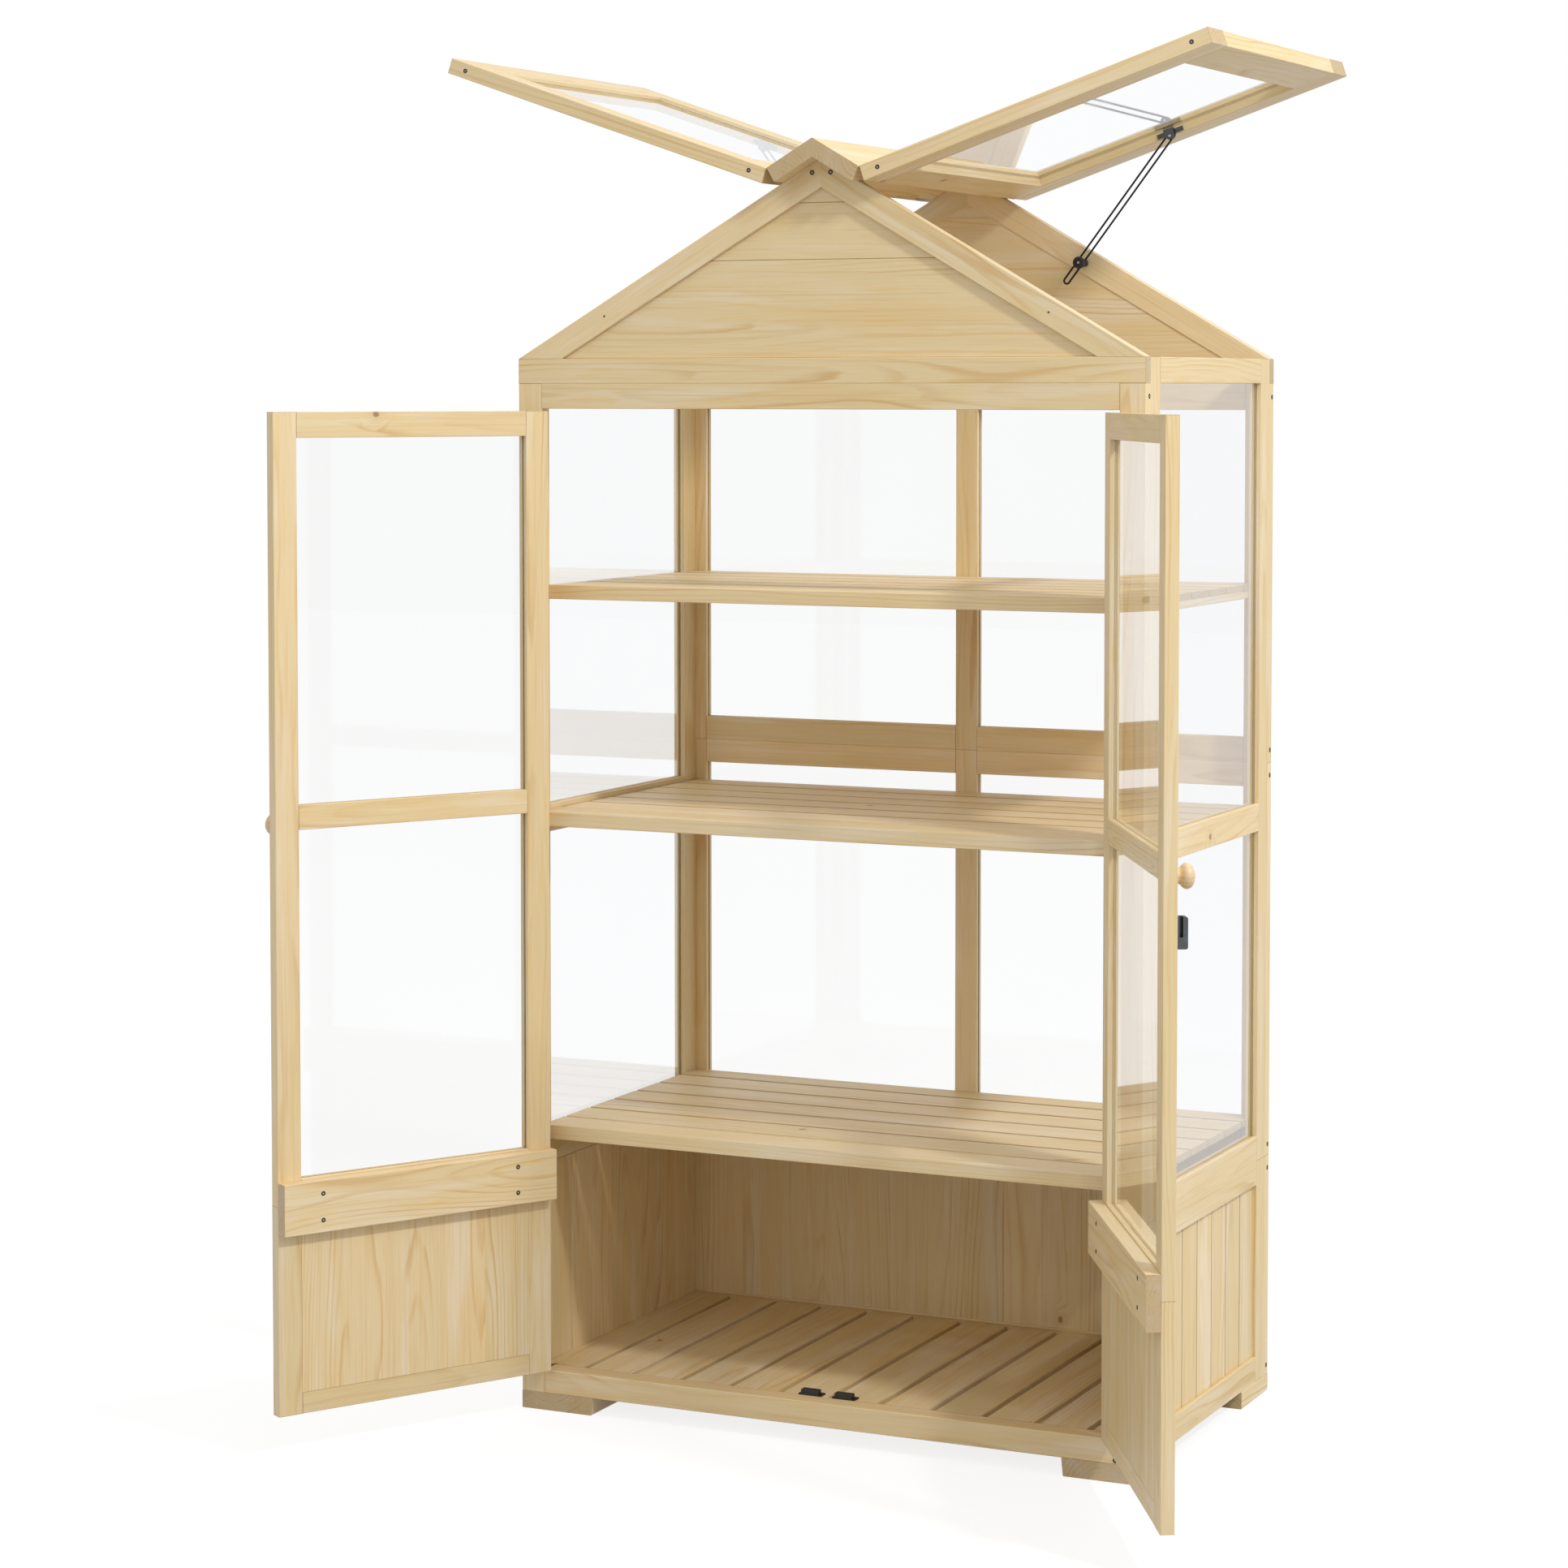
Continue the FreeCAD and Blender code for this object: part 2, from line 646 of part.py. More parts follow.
door_pane_w = (FRONT + (BOARD - PANE_THICK) / 2, FRONT + (BOARD + PANE_THICK) / 2)
door_panes = []
door_cutters = []
for low, high in zip(door_rails[1:], door_rails[2:]):
    pane, groove = let_in_sheet("front", door_bay, (low[1], high[0]), door_pane_w)
    door_panes.append(pane)
    door_cutters.append(groove)

# Door hinges
hinge_mid = (door_z[0] + door_z[1]) / 2
hinge_heights = (hinge_mid - DOOR_HINGE_SPACING / 2, hinge_mid + DOOR_HINGE_SPACING / 2)
turned = FreeCAD.Rotation(vec(0, 0, 1), 0)
fixed_leaf, moving_leaf = butt_hinge(DOOR_HINGE_GAP)
door_fixed_leaves = []
door_moving_leaves = []
post_cutters = []
for height in hinge_heights:
    place = FreeCAD.Placement(vec(door_axis_x, door_axis_y, height), turned)
    door_fixed_leaves.append(moved(mirrored(fixed_leaf), place))
    door_moving_leaves.append(moved(mirrored(moving_leaf), place))
    room = moved(hinge_room(DOOR_HINGE_GAP), place)
    post_cutters.append(room)
    door_cutters.append(room)

# A glazed frame above and a panel frame below, which the cross board joins
door_joint = door_rails[1][0]
door_frame = frame_boards("front", front_w, (door_joint, door_z[1]), door_stiles, door_rails[1:])
door_frame += frame_boards("front", front_w, (door_z[0], door_joint), door_stiles, door_rails[:1])
door_frame = cut_all(door_frame, door_cutters)

# Front posts, cut back for the hinges
post = board((DOORWAY_SIDE, HALF_WIDTH), front_w, (FOOT_HEIGHT, WALL_HEAD), "z")
post = cut_all([post], post_cutters)[0]
save("front_posts", [post, mirrored(post)])

# Door panel of upright boards, flush with the stiles
panel_z = (door_rails[0][1], door_rails[1][0])
panel_pitch = (door_bay[1] - door_bay[0]) / DOOR_PANEL_BOARDS
door_panel = []
for i in range(DOOR_PANEL_BOARDS):
    limits = (door_bay[0] + i * panel_pitch, door_bay[0] + (i + 1) * panel_pitch)
    section = lining_section(limits, front_w, i > 0, i < DOOR_PANEL_BOARDS - 1, (TIGHT_EASE, TIGHT_EASE))
    points = [vec(a, b, panel_z[0]) for a, b in section]
    door_panel.append(prism(points, vec(0, 0, panel_z[1] - panel_z[0])))

# Cross board behind the door
cross_x = (door_x[0], door_axis_x - CROSS_BOARD_INSET)
cross_y = (FRONT_INSIDE, FRONT_INSIDE + CROSS_BOARD_THICK)
cross_low = DOOR_LOW_RAIL_HEIGHT - CROSS_BOARD_DROP
cross_board = board(cross_x, cross_y, (cross_low, cross_low + CROSS_BOARD_WIDTH), "x")

# Turned door knob
knob_x = (door_stiles[0][0] + door_stiles[0][1]) / 2
knob_profile = [
    (KNOB_NECK_RADIUS + 1.6, 0.0),
    (KNOB_NECK_RADIUS + 0.4, 0.07 * KNOB_PROJECTION),
    (KNOB_NECK_RADIUS, 0.2 * KNOB_PROJECTION),
    (KNOB_NECK_RADIUS + 0.6, 0.34 * KNOB_PROJECTION),
    (KNOB_NECK_RADIUS + 2.4, 0.45 * KNOB_PROJECTION),
    (KNOB_RADIUS - 0.7, 0.55 * KNOB_PROJECTION),
    (KNOB_RADIUS, 0.65 * KNOB_PROJECTION),
    (KNOB_RADIUS - 0.5, 0.75 * KNOB_PROJECTION),
    (KNOB_RADIUS - 2.6, 0.86 * KNOB_PROJECTION),
    (0.55 * KNOB_RADIUS, 0.95 * KNOB_PROJECTION),
    (0.2 * KNOB_RADIUS, KNOB_PROJECTION),
]
door_knob = lathe(knob_profile, vec(0, 0, 0), vec(0, -1, 0), KNOB_SIDES)
door_knob.translate(vec(knob_x, FRONT, KNOB_HEIGHT))

# Turns a closed right hand piece out to the open door, about the hinge axis
def opened(shape):
    copy = shape.copy()
    copy.rotate(vec(door_axis_x, door_axis_y, 0), vec(0, 0, 1), DOOR_OPEN_ANGLE)
    return copy


door_nodes = {
    "door_frame": door_frame,
    "door_panes": door_panes,
    "door_panel": door_panel,
    "door_cross_board": [cross_board],
    "door_knob": [door_knob],
    "door_hinge_leaves": door_moving_leaves,
}
for name, shapes in door_nodes.items():
    open_shapes = [opened(s) for s in shapes]
    save("right_" + name, open_shapes)
    save("left_" + name, [mirrored(s) for s in open_shapes])

# Latch, drawn on the closed right door and mirrored to the left one
latch_x = door_x[0] + LATCH_EDGE_DISTANCE
latch_z = (LATCH_HEIGHT - LATCH_LENGTH / 2, LATCH_HEIGHT + LATCH_LENGTH / 2)
plate_x = (latch_x - LATCH_PLATE_WIDTH / 2, latch_x + LATCH_PLATE_WIDTH / 2)
plate_front = FRONT - LATCH_PLATE_THICK
bar_back = plate_front - LATCH_BAR_GAP
bar_front = bar_back - LATCH_BAR_THICK
plate_outline = [
    vec(plate_x[0], FRONT, latch_z[0]),
    vec(plate_x[1], FRONT, latch_z[0]),
    vec(plate_x[1], FRONT, latch_z[1]),
    vec(plate_x[0], FRONT, latch_z[1]),
]
latch_plate = prism(eased(plate_outline, 1.5), vec(0, -LATCH_PLATE_THICK, 0))
latch_foot = vec(latch_x, FRONT, LATCH_HEIGHT)
out = vec(0, -1, 0)
washer_top = FRONT - bar_back - PIN_CLEARANCE
pin_top = FRONT - bar_front + PIN_CLEARANCE
washer = rod(LATCH_PIN_RADIUS + 1.5, latch_foot, latch_foot + out * washer_top, LATCH_SIDES)
pin = rod(LATCH_PIN_RADIUS, latch_foot, latch_foot + out * pin_top, LATCH_SIDES)
head_profile = [
    (LATCH_HEAD_RADIUS, pin_top),
    (LATCH_HEAD_RADIUS, pin_top + 0.5 * LATCH_HEAD_THICK),
    (LATCH_HEAD_RADIUS - 1.0, pin_top + LATCH_HEAD_THICK),
]
head = lathe(head_profile, latch_foot, out, LATCH_SIDES)
latch_plate = latch_plate.fuse([washer, pin, head]).removeSplitter()

end_round = LATCH_BAR_WIDTH / 2
bar_low = latch_z[0] + end_round
bar_high = latch_z[1] - end_round
bar_x = (latch_x - end_round, latch_x + end_round)
bar_wire = Part.Wire([
    Part.LineSegment(vec(bar_x[0], bar_back, bar_low), vec(bar_x[0], bar_back, bar_high)).toShape(),
    Part.Arc(
        vec(bar_x[0], bar_back, bar_high),
        vec(latch_x, bar_back, latch_z[1]),
        vec(bar_x[1], bar_back, bar_high),
    ).toShape(),
    Part.LineSegment(vec(bar_x[1], bar_back, bar_high), vec(bar_x[1], bar_back, bar_low)).toShape(),
    Part.Arc(
        vec(bar_x[1], bar_back, bar_low),
        vec(latch_x, bar_back, latch_z[0]),
        vec(bar_x[0], bar_back, bar_low),
    ).toShape(),
])
latch_bar = Part.Face(bar_wire).extrude(vec(0, -LATCH_BAR_THICK, 0))
bar_bore = rod(
    LATCH_PIN_RADIUS + PIN_CLEARANCE,
    vec(latch_x, bar_back + 1, LATCH_HEIGHT),
    vec(latch_x, bar_front - 1, LATCH_HEIGHT),
    LATCH_SIDES,
    True,
)
latch_bar = latch_bar.cut(bar_bore)

# Keeper block with a slot that takes the bar from above and from the meeting side
keeper_x = (door_x[0] + KEEPER_EDGE_DISTANCE, door_x[0] + KEEPER_EDGE_DISTANCE + KEEPER_WIDTH)
keeper = box(keeper_x, (FRONT - KEEPER_DEPTH, FRONT), latch_z)
outer_edges = []
for e in keeper.Edges:
    at_front = abs(e.BoundBox.YMax - (FRONT - KEEPER_DEPTH)) < 0.01
    if at_front and e.BoundBox.ZLength < 0.01:
        outer_edges.append(e)
keeper = keeper.makeFillet(KEEPER_ROUND, outer_edges)
slot_y = (bar_front - KEEPER_SLOT_CLEARANCE, bar_back + KEEPER_SLOT_CLEARANCE)
slot_floor = LATCH_HEIGHT - LATCH_BAR_WIDTH / 2 - KEEPER_SLOT_CLEARANCE
slot_end = keeper_x[1] - KEEPER_WALL
slot_outline = [
    vec(keeper_x[0] - 1, slot_y[0], slot_floor),
    vec(slot_end, slot_y[0], slot_floor - KEEPER_FLOOR_FALL),
    vec(slot_end, slot_y[0], latch_z[1] + 1),
    vec(keeper_x[0] - 1, slot_y[0], latch_z[1] + 1),
]
keeper = keeper.cut(prism(slot_outline, vec(0, slot_y[1] - slot_y[0], 0)))
save("latch_keeper", [opened(keeper)])
save("latch_plate", [mirrored(opened(latch_plate))])
save("latch_bar", [mirrored(opened(latch_bar))])

# Ridge boards: the left one runs over the end of the right one
drop = math.tan(SLOPE)
across = RIDGE_WIDTH * math.cos(SLOPE)
outer_top = (across, RIDGE_PEAK - RIDGE_WIDTH * math.sin(SLOPE))
outer_low = (outer_top[0] - RIDGE_THICK * math.sin(SLOPE), outer_top[1] - RIDGE_THICK * math.cos(SLOPE))
butt_x = (RIDGE_PEAK - RAFTER_PEAK) / (2 * drop)
butt = (butt_x, RIDGE_PEAK - butt_x * drop)


def ridge_board(outline):
    points = [vec(x, -RIDGE_LENGTH / 2, z) for x, z in outline]
    return prism(eased(points, EASE), vec(0, RIDGE_LENGTH, 0))


left_top = (-outer_top[0], outer_top[1])
left_low = (-outer_low[0], outer_low[1])
left_ridge = ridge_board([(0, RIDGE_PEAK), butt, left_low, left_top])
right_ridge = ridge_board([butt, outer_top, outer_low, (0, RAFTER_PEAK)])

# Roof window lying flat: x runs from the hinge axis to the eaves, z is the outer side
window_x = (WINDOW_HINGE_GAP, WINDOW_HINGE_GAP + WINDOW_LENGTH)
window_z = (-WINDOW_HINGE_LIFT - WINDOW_THICK, -WINDOW_HINGE_LIFT)
half_window = DEPTH / 2 + WINDOW_OVERHANG
glass_y = (WINDOW_STILE - half_window, half_window - WINDOW_STILE)
glass_x = (window_x[0] + WINDOW_HINGE_RAIL, window_x[1] - WINDOW_OUTER_RAIL)
window_frame = [
    board(window_x, (-half_window, glass_y[0]), window_z, "x"),
    board(window_x, (glass_y[1], half_window), window_z, "x"),
    board((window_x[0], glass_x[0]), glass_y, window_z, "y"),
    board((glass_x[1], window_x[1]), glass_y, window_z, "y"),
]
pane_top = window_z[1] - WINDOW_PANE_DEPTH
window_pane_z = (pane_top - PANE_THICK, pane_top)
window_pane = box(grown(glass_x, LET_IN), grown(glass_y, LET_IN), window_pane_z)
in_groove = LET_IN + GROOVE_CLEARANCE
groove_z = grown(window_pane_z, GROOVE_CLEARANCE)
window_groove = box(grown(glass_x, in_groove), grown(glass_y, in_groove), groove_z)

# Window hinges, their axis along y
lying = FreeCAD.Rotation(FreeCAD.Matrix(1, 0, 0, 0, 0, 0, 1, 0, 0, -1, 0, 0, 0, 0, 0, 1))
fixed_leaf, moving_leaf = butt_hinge(WINDOW_HINGE_GAP)
window_moving_leaves = []
window_fixed_leaves = []
window_cutters = [window_groove]
ridge_cutters = []
for y in (-WINDOW_HINGE_SPACING / 2, WINDOW_HINGE_SPACING / 2):
    place = FreeCAD.Placement(vec(0, y, 0), lying)
    window_moving_leaves.append(moved(moving_leaf, place))
    window_fixed_leaves.append(moved(fixed_leaf, place))
    room = moved(hinge_room(WINDOW_HINGE_GAP), place)
    window_cutters.append(room)
    ridge_cutters.append(room)
window_frame = cut_all(window_frame, window_cutters)

# Hinge axis of the right window, at the outer corner of the ridge board
axis_reach = RIDGE_WIDTH + WINDOW_HINGE_GAP
axis_x = axis_reach * math.cos(SLOPE) + WINDOW_HINGE_LIFT * math.sin(SLOPE)
axis_z = RIDGE_PEAK - axis_reach * math.sin(SLOPE) + WINDOW_HINGE_LIFT * math.cos(SLOPE)
open_tilt = WINDOW_OPEN_ANGLE - PITCH


# Lays a flat window piece on the roof, tilted by an angle above level
def on_roof(shape, tilt):
    turn = FreeCAD.Rotation(vec(0, 1, 0), -tilt)
    return moved(shape, FreeCAD.Placement(vec(axis_x, 0, axis_z), turn))


right_cutters = [on_roof(c, -PITCH) for c in ridge_cutters]
left_cutters = [mirrored(c) for c in right_cutters]
save("ridge_boards", cut_all([left_ridge], left_cutters) + cut_all([right_ridge], right_cutters))
ridge_leaves = [on_roof(leaf, -PITCH) for leaf in window_fixed_leaves]
fixed_leaves = ridge_leaves + door_fixed_leaves
save("fixed_hinge_leaves", fixed_leaves + [mirrored(leaf) for leaf in fixed_leaves])

# Stay bracket on the inner face of the rear stile, with the pivot level with its underside
pivot = (STAY_PIVOT_REACH, window_z[0])
stile_face = glass_y[1]
plate_back = stile_face
plate_face = stile_face - STAY_PLATE_THICK
hub_y = (plate_face - STAY_HUB_CLEARANCE - STAY_HUB_THICK, plate_face - STAY_HUB_CLEARANCE)
ear_back = hub_y[0] - STAY_HUB_CLEARANCE
ear_y = (ear_back - STAY_EAR_THICK, ear_back)
plate_top = window_pane_z[0] - 1.0
strip_x = (pivot[0] - STAY_PLATE_LENGTH / 2, pivot[0] + STAY_PLATE_LENGTH / 2)
strip_top = plate_top - STAY_PLATE_DROP
strip = box(strip_x, (plate_face, plate_back), (strip_top - STAY_PLATE_HEIGHT, strip_top))
ear_centre = pivot[1] + STAY_EAR_RISE
ear_front = vec(pivot[0], ear_y[0], ear_centre)
ear_disc = round_bar(STAY_EAR_RADIUS, ear_front, vec(pivot[0], plate_back, ear_centre))
ear_x = (pivot[0] - STAY_EAR_RADIUS, pivot[0] + STAY_EAR_RADIUS)
ear_top = box(ear_x, (ear_y[0], plate_back), (ear_centre, plate_top))
below_glass = box(grown(strip_x, 5), grown((ear_y[0], plate_back), 5), (ear_centre - 20, plate_top))
bracket = ear_disc.fuse(ear_top).common(below_glass).fuse(strip)
hub_room_top = pivot[1] + STAY_HUB_RADIUS + STAY_HUB_CLEARANCE
slot_z = (ear_centre - STAY_EAR_RADIUS - 1, min(hub_room_top, plate_top - 1.0))
hub_slot = box(grown(strip_x, 1), (ear_y[1], plate_face), slot_z)
bracket = bracket.cut(hub_slot)
rivet_front = vec(pivot[0], ear_y[0], pivot[1])
rivet_back = vec(pivot[0], plate_face, pivot[1])
rivet = rod(STAY_RIVET_RADIUS, rivet_front, rivet_back, STAY_SIDES)
head_profile = [
    (STAY_RIVET_HEAD, 0.0),
    (STAY_RIVET_HEAD, 0.5 * STAY_RIVET_HEAD_THICK),
    (STAY_RIVET_HEAD - 0.8, STAY_RIVET_HEAD_THICK),
]
rivet_head = lathe(head_profile, rivet_front, vec(0, -1, 0), STAY_SIDES)
bracket = bracket.fuse([rivet, rivet_head]).removeSplitter()

window_nodes = {
    "window_frame": window_frame,
    "window_pane": [window_pane],
    "window_hinge_leaves": window_moving_leaves,
    "stay_bracket": [bracket],
}
for name, shapes in window_nodes.items():
    open_shapes = [on_roof(s, open_tilt) for s in shapes]
    save("right_" + name, open_shapes)
    save("left_" + name, [mirrored(s) for s in open_shapes])

# Stay loop of bent wire, from the pivot past the knob on the rear rafter
tilt = math.radians(open_tilt)
pivot_x = axis_x + pivot[0] * math.cos(tilt) - pivot[1] * math.sin(tilt)
pivot_z = axis_z + pivot[0] * math.sin(tilt) + pivot[1] * math.cos(tilt)
knob_x = STAY_KNOB_ACROSS
knob_z = RAFTER_PEAK - knob_x * drop - STAY_KNOB_BELOW_EDGE / math.cos(SLOPE)
wire_y = (hub_y[0] + hub_y[1]) / 2
pivot_point = vec(pivot_x, wire_y, pivot_z)
knob_point = vec(knob_x, wire_y, knob_z)
down = knob_point.sub(pivot_point)
down.normalize()
aside = down.cross(vec(0, 1, 0))
half_wire = STAY_WIRE_SPACING / 2


def on_loop(distance, offset):
    return pivot_point.add(vec(*down).multiply(distance)).add(vec(*aside).multiply(offset))


bend = STAY_LOOP_LENGTH - half_wire - STAY_WIRE_RADIUS
start = STAY_HUB_RADIUS * 0.5
loop_points = [(start, -half_wire, 0.0), (bend, -half_wire, 0.0)]
for i in range(1, STAY_BEND_STEPS):
    turn = math.pi * i / STAY_BEND_STEPS
    loop_points.append((bend + half_wire * math.sin(turn), -half_wire * math.cos(turn), turn))
loop_points += [(bend, half_wire, math.pi), (start, half_wire, math.pi)]
wire_rings = []
for distance, offset, turn in loop_points:
    heading = down * math.cos(turn) + aside * math.sin(turn)
    first = vec(0, 1, 0)
    second = heading.cross(first)
    centre = on_loop(distance, offset)
    points = []
    for i in range(STAY_WIRE_SIDES):
        angle = 2 * math.pi * i / STAY_WIRE_SIDES
        points.append(centre + (first * math.cos(angle) + second * math.sin(angle)) * STAY_WIRE_RADIUS)
    wire_rings.append(points)
wire_loop = skin(wire_rings)
hub = rod(STAY_HUB_RADIUS, vec(pivot_x, hub_y[0], pivot_z), vec(pivot_x, hub_y[1], pivot_z), STAY_SIDES)
stay_loop = hub.fuse(wire_loop)
hub_bore = rod(
    STAY_RIVET_RADIUS + PIN_CLEARANCE,
    vec(pivot_x, hub_y[0] - 1, pivot_z),
    vec(pivot_x, hub_y[1] + 1, pivot_z),
    STAY_SIDES,
    True,
)
stay_loop = stay_loop.cut(hub_bore)
save("right_stay_loop", [stay_loop])
save("left_stay_loop", [mirrored(stay_loop)])

# Clamping knob: its stud passes through the loop and its sleeve reaches the rafter
stud_radius = half_wire - STAY_WIRE_RADIUS - STAY_STUD_CLEARANCE
knob_back = wire_y - STAY_WIRE_RADIUS - STAY_STUD_CLEARANCE
knob_front = knob_back - STAY_KNOB_THICK
sleeve_front = wire_y + STAY_WIRE_RADIUS + STAY_STUD_CLEARANCE
sleeve_back = BACK_INSIDE - STAY_FOOT_GAP
rim = 1.5
dish = 1.0
knob_foot = vec(knob_x, 0, knob_z)
stay_profile = [
    (STAY_KNOB_RADIUS - rim, knob_front),
    (STAY_KNOB_RADIUS, knob_front + rim),
    (STAY_KNOB_RADIUS, knob_back),
]
stay_head = lathe(stay_profile, knob_foot, vec(0, 1, 0), STAY_SIDES)
hollow_start = knob_foot + vec(0, knob_front - 1, 0)
hollow_end = knob_foot + vec(0, knob_front + dish, 0)
hollow = rod(STAY_KNOB_RADIUS - 2 * rim, hollow_start, hollow_end, STAY_SIDES)
stud_start = knob_foot + vec(0, knob_front + 0.5 * dish, 0)
sleeve_start = knob_foot + vec(0, sleeve_front, 0)
sleeve_end = knob_foot + vec(0, sleeve_back, 0)
stud = rod(stud_radius, stud_start, sleeve_end, STAY_SIDES)
sleeve = rod(STAY_SLEEVE_RADIUS, sleeve_start, sleeve_end, STAY_SIDES)
stay_knob = stay_head.cut(hollow).fuse([stud, sleeve]).removeSplitter()
save("right_stay_knob", [stay_knob])
save("left_stay_knob", [mirrored(stay_knob)])

# Slatted shelves
shelves = {
    "top_shelf": (TOP_SHELF, TOP_SHELF_SETBACK, TOP_SHELF_FRONT_BOARD, 0, 0),
    "middle_shelf": (MIDDLE_SHELF, MIDDLE_SHELF_SETBACK, MIDDLE_SHELF_FRONT_BOARD, MIDDLE_SHELF_END_GAP, 0),
    "bottom_shelf": (BOTTOM_SHELF, BOTTOM_SHELF_SETBACK, BOTTOM_SHELF_FRONT_BOARD, 0, BOTTOM_BATTEN_INSET),
}
shelf_x = (-SIDE_INSIDE, SIDE_INSIDE)
battens = []
for name, (top, setback, front_board, end_gap, inset) in shelves.items():
    front_y = FRONT + setback
    slats = [board(shelf_x, (front_y, front_y + front_board), (top - SHELF_THICK, top), "x")]
    edge = front_y + front_board + SHELF_GAP
    while edge < BACK_INSIDE - SHELF_GAP:
        end = edge + SHELF_SLAT
        if end > BACK_INSIDE - SHELF_GAP:
            end = BACK_INSIDE
        slat_x = grown(shelf_x, -end_gap)
        slats.append(board(slat_x, (edge, end), (top - SHELF_SLAT_THICK, top), "x"))
        edge = end + SHELF_GAP
    save(name + "_slats", slats)
    batten_y = (front_y + front_board, BACK_INSIDE)
    batten_z = (top - SHELF_THICK, top - SHELF_SLAT_THICK)
    batten_end = SIDE_INSIDE - inset
    end_batten = board((batten_end - SHELF_BATTEN, batten_end), batten_y, batten_z, "y")
    middle_batten = board((-SHELF_BATTEN / 2, SHELF_BATTEN / 2), batten_y, batten_z, "y")
    battens += [end_batten, mirrored(end_batten), middle_batten]
save("shelf_battens", battens)

# Magnetic catches on the floor
catches = []
for centre in (CATCH_LEFT, CATCH_RIGHT):
    plate_x = (centre - CATCH_LENGTH / 2, centre + CATCH_LENGTH / 2)
    body_x = (centre - CATCH_BODY_LENGTH / 2, centre + CATCH_BODY_LENGTH / 2)
    catch_y = (FRONT + CATCH_SETBACK, FRONT + CATCH_SETBACK + CATCH_WIDTH)
    outline = [
        vec(plate_x[0], catch_y[0], FLOOR),
        vec(plate_x[1], catch_y[0], FLOOR),
        vec(plate_x[1], catch_y[1], FLOOR),
        vec(plate_x[0], catch_y[1], FLOOR),
    ]
    plate = prism(eased(outline, 1.5), vec(0, 0, CATCH_PLATE))
    body_y = (catch_y[0], catch_y[0] + CATCH_BODY_WIDTH)
    body = box(body_x, body_y, (FLOOR, FLOOR + CATCH_BODY_HEIGHT))
    top_edges = [e for e in body.Edges if e.BoundBox.ZMin > FLOOR + CATCH_BODY_HEIGHT - 0.01]
    body = body.makeFillet(1.0, top_edges)
    catches.append(plate.fuse(body).removeSplitter())
save("magnetic_catches", catches)

# The origin is on the ground, in the middle of what the greenhouse covers with its doors open
covered = Part.makeCompound(list(nodes.values())).BoundBox
middle = vec(0, -(covered.YMin + covered.YMax) / 2, 0)
for name, shape in nodes.items():
    shape.translate(middle)
    shape.exportStep("parts/" + name + ".step")
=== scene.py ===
import bpy
import json
import math
import random
import zlib
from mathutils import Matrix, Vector

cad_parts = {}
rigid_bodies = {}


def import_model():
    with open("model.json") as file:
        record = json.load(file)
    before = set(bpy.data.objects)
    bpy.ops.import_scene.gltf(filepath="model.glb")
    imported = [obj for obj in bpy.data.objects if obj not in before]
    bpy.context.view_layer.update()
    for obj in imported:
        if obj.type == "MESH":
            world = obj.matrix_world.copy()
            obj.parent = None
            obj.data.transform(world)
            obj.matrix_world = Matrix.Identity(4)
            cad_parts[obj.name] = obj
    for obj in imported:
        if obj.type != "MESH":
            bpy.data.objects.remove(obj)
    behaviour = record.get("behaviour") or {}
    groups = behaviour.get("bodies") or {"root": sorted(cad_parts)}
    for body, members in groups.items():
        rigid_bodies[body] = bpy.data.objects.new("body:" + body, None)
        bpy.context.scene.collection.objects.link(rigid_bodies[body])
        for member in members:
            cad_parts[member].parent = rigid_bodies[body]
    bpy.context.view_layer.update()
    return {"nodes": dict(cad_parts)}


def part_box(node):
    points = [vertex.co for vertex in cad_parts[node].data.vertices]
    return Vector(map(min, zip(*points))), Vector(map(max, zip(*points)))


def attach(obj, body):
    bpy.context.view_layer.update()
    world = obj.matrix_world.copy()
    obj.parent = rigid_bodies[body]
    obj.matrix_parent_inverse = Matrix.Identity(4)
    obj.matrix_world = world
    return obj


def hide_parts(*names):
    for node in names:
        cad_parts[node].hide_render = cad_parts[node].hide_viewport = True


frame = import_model()
cad = frame["nodes"]
scene = bpy.context.scene

FRONT = (0, -1, 0)
SIDES = ((-1, "left"), (1, "right"))

# The cabinet's own middle lies this far behind the frame's origin, in metres
MIDDLE_Y = 0.17501726

# Places on the object are in millimetres from the cabinet's own middle, where no comment says
# otherwise. Its front and its sides are planes at this y and x
CABINET_FRONT, CABINET_SIDE = -259, 450

# At rest a door is open by an angle about its hinge at (x, y), and a window rises outwards
# from its hinge at (x, z), its underside so far below the plane through that hinge
DOOR_AXIS, DOOR_OPEN = (414.8, -259.5), math.radians(120)
WINDOW_AXIS, WINDOW_RISE = (65.635, 1685.317), math.radians(18.7)
WINDOW_UNDERSIDE = 21.5

# Screw heads that show: (x, z) on the front, (y, z) on both sides, pins in the rafters,
# (s, y, z) in a door's cross board and (s, y, b) in a window's front edge
FRONT_SCREWS = ((-12.0, 1679.0), (14.4, 1679.0), (415.0, 29.0))
SIDE_SCREWS = ((-246, 1388), (252, 1386), (252, 898), (252, 863), (252, 348), (252, 315), (252, 37))
GABLE_PINS = ((-318.7, 1494.5), (318.7, 1494.5))
CROSS_BOARD_SCREWS = [(s, -223.5, z) for s in (62.5, 357.5) for z in (349.3, 314.3)]
WINDOW_SCREWS = [(s, -284, -11) for s in (24, 472.5)]

# Radii of the screw heads, in metres
CABINET_SCREW, GABLE_PIN, CROSS_BOARD_SCREW, WINDOW_SCREW = 0.0034, 0.0014, 0.0031, 0.003

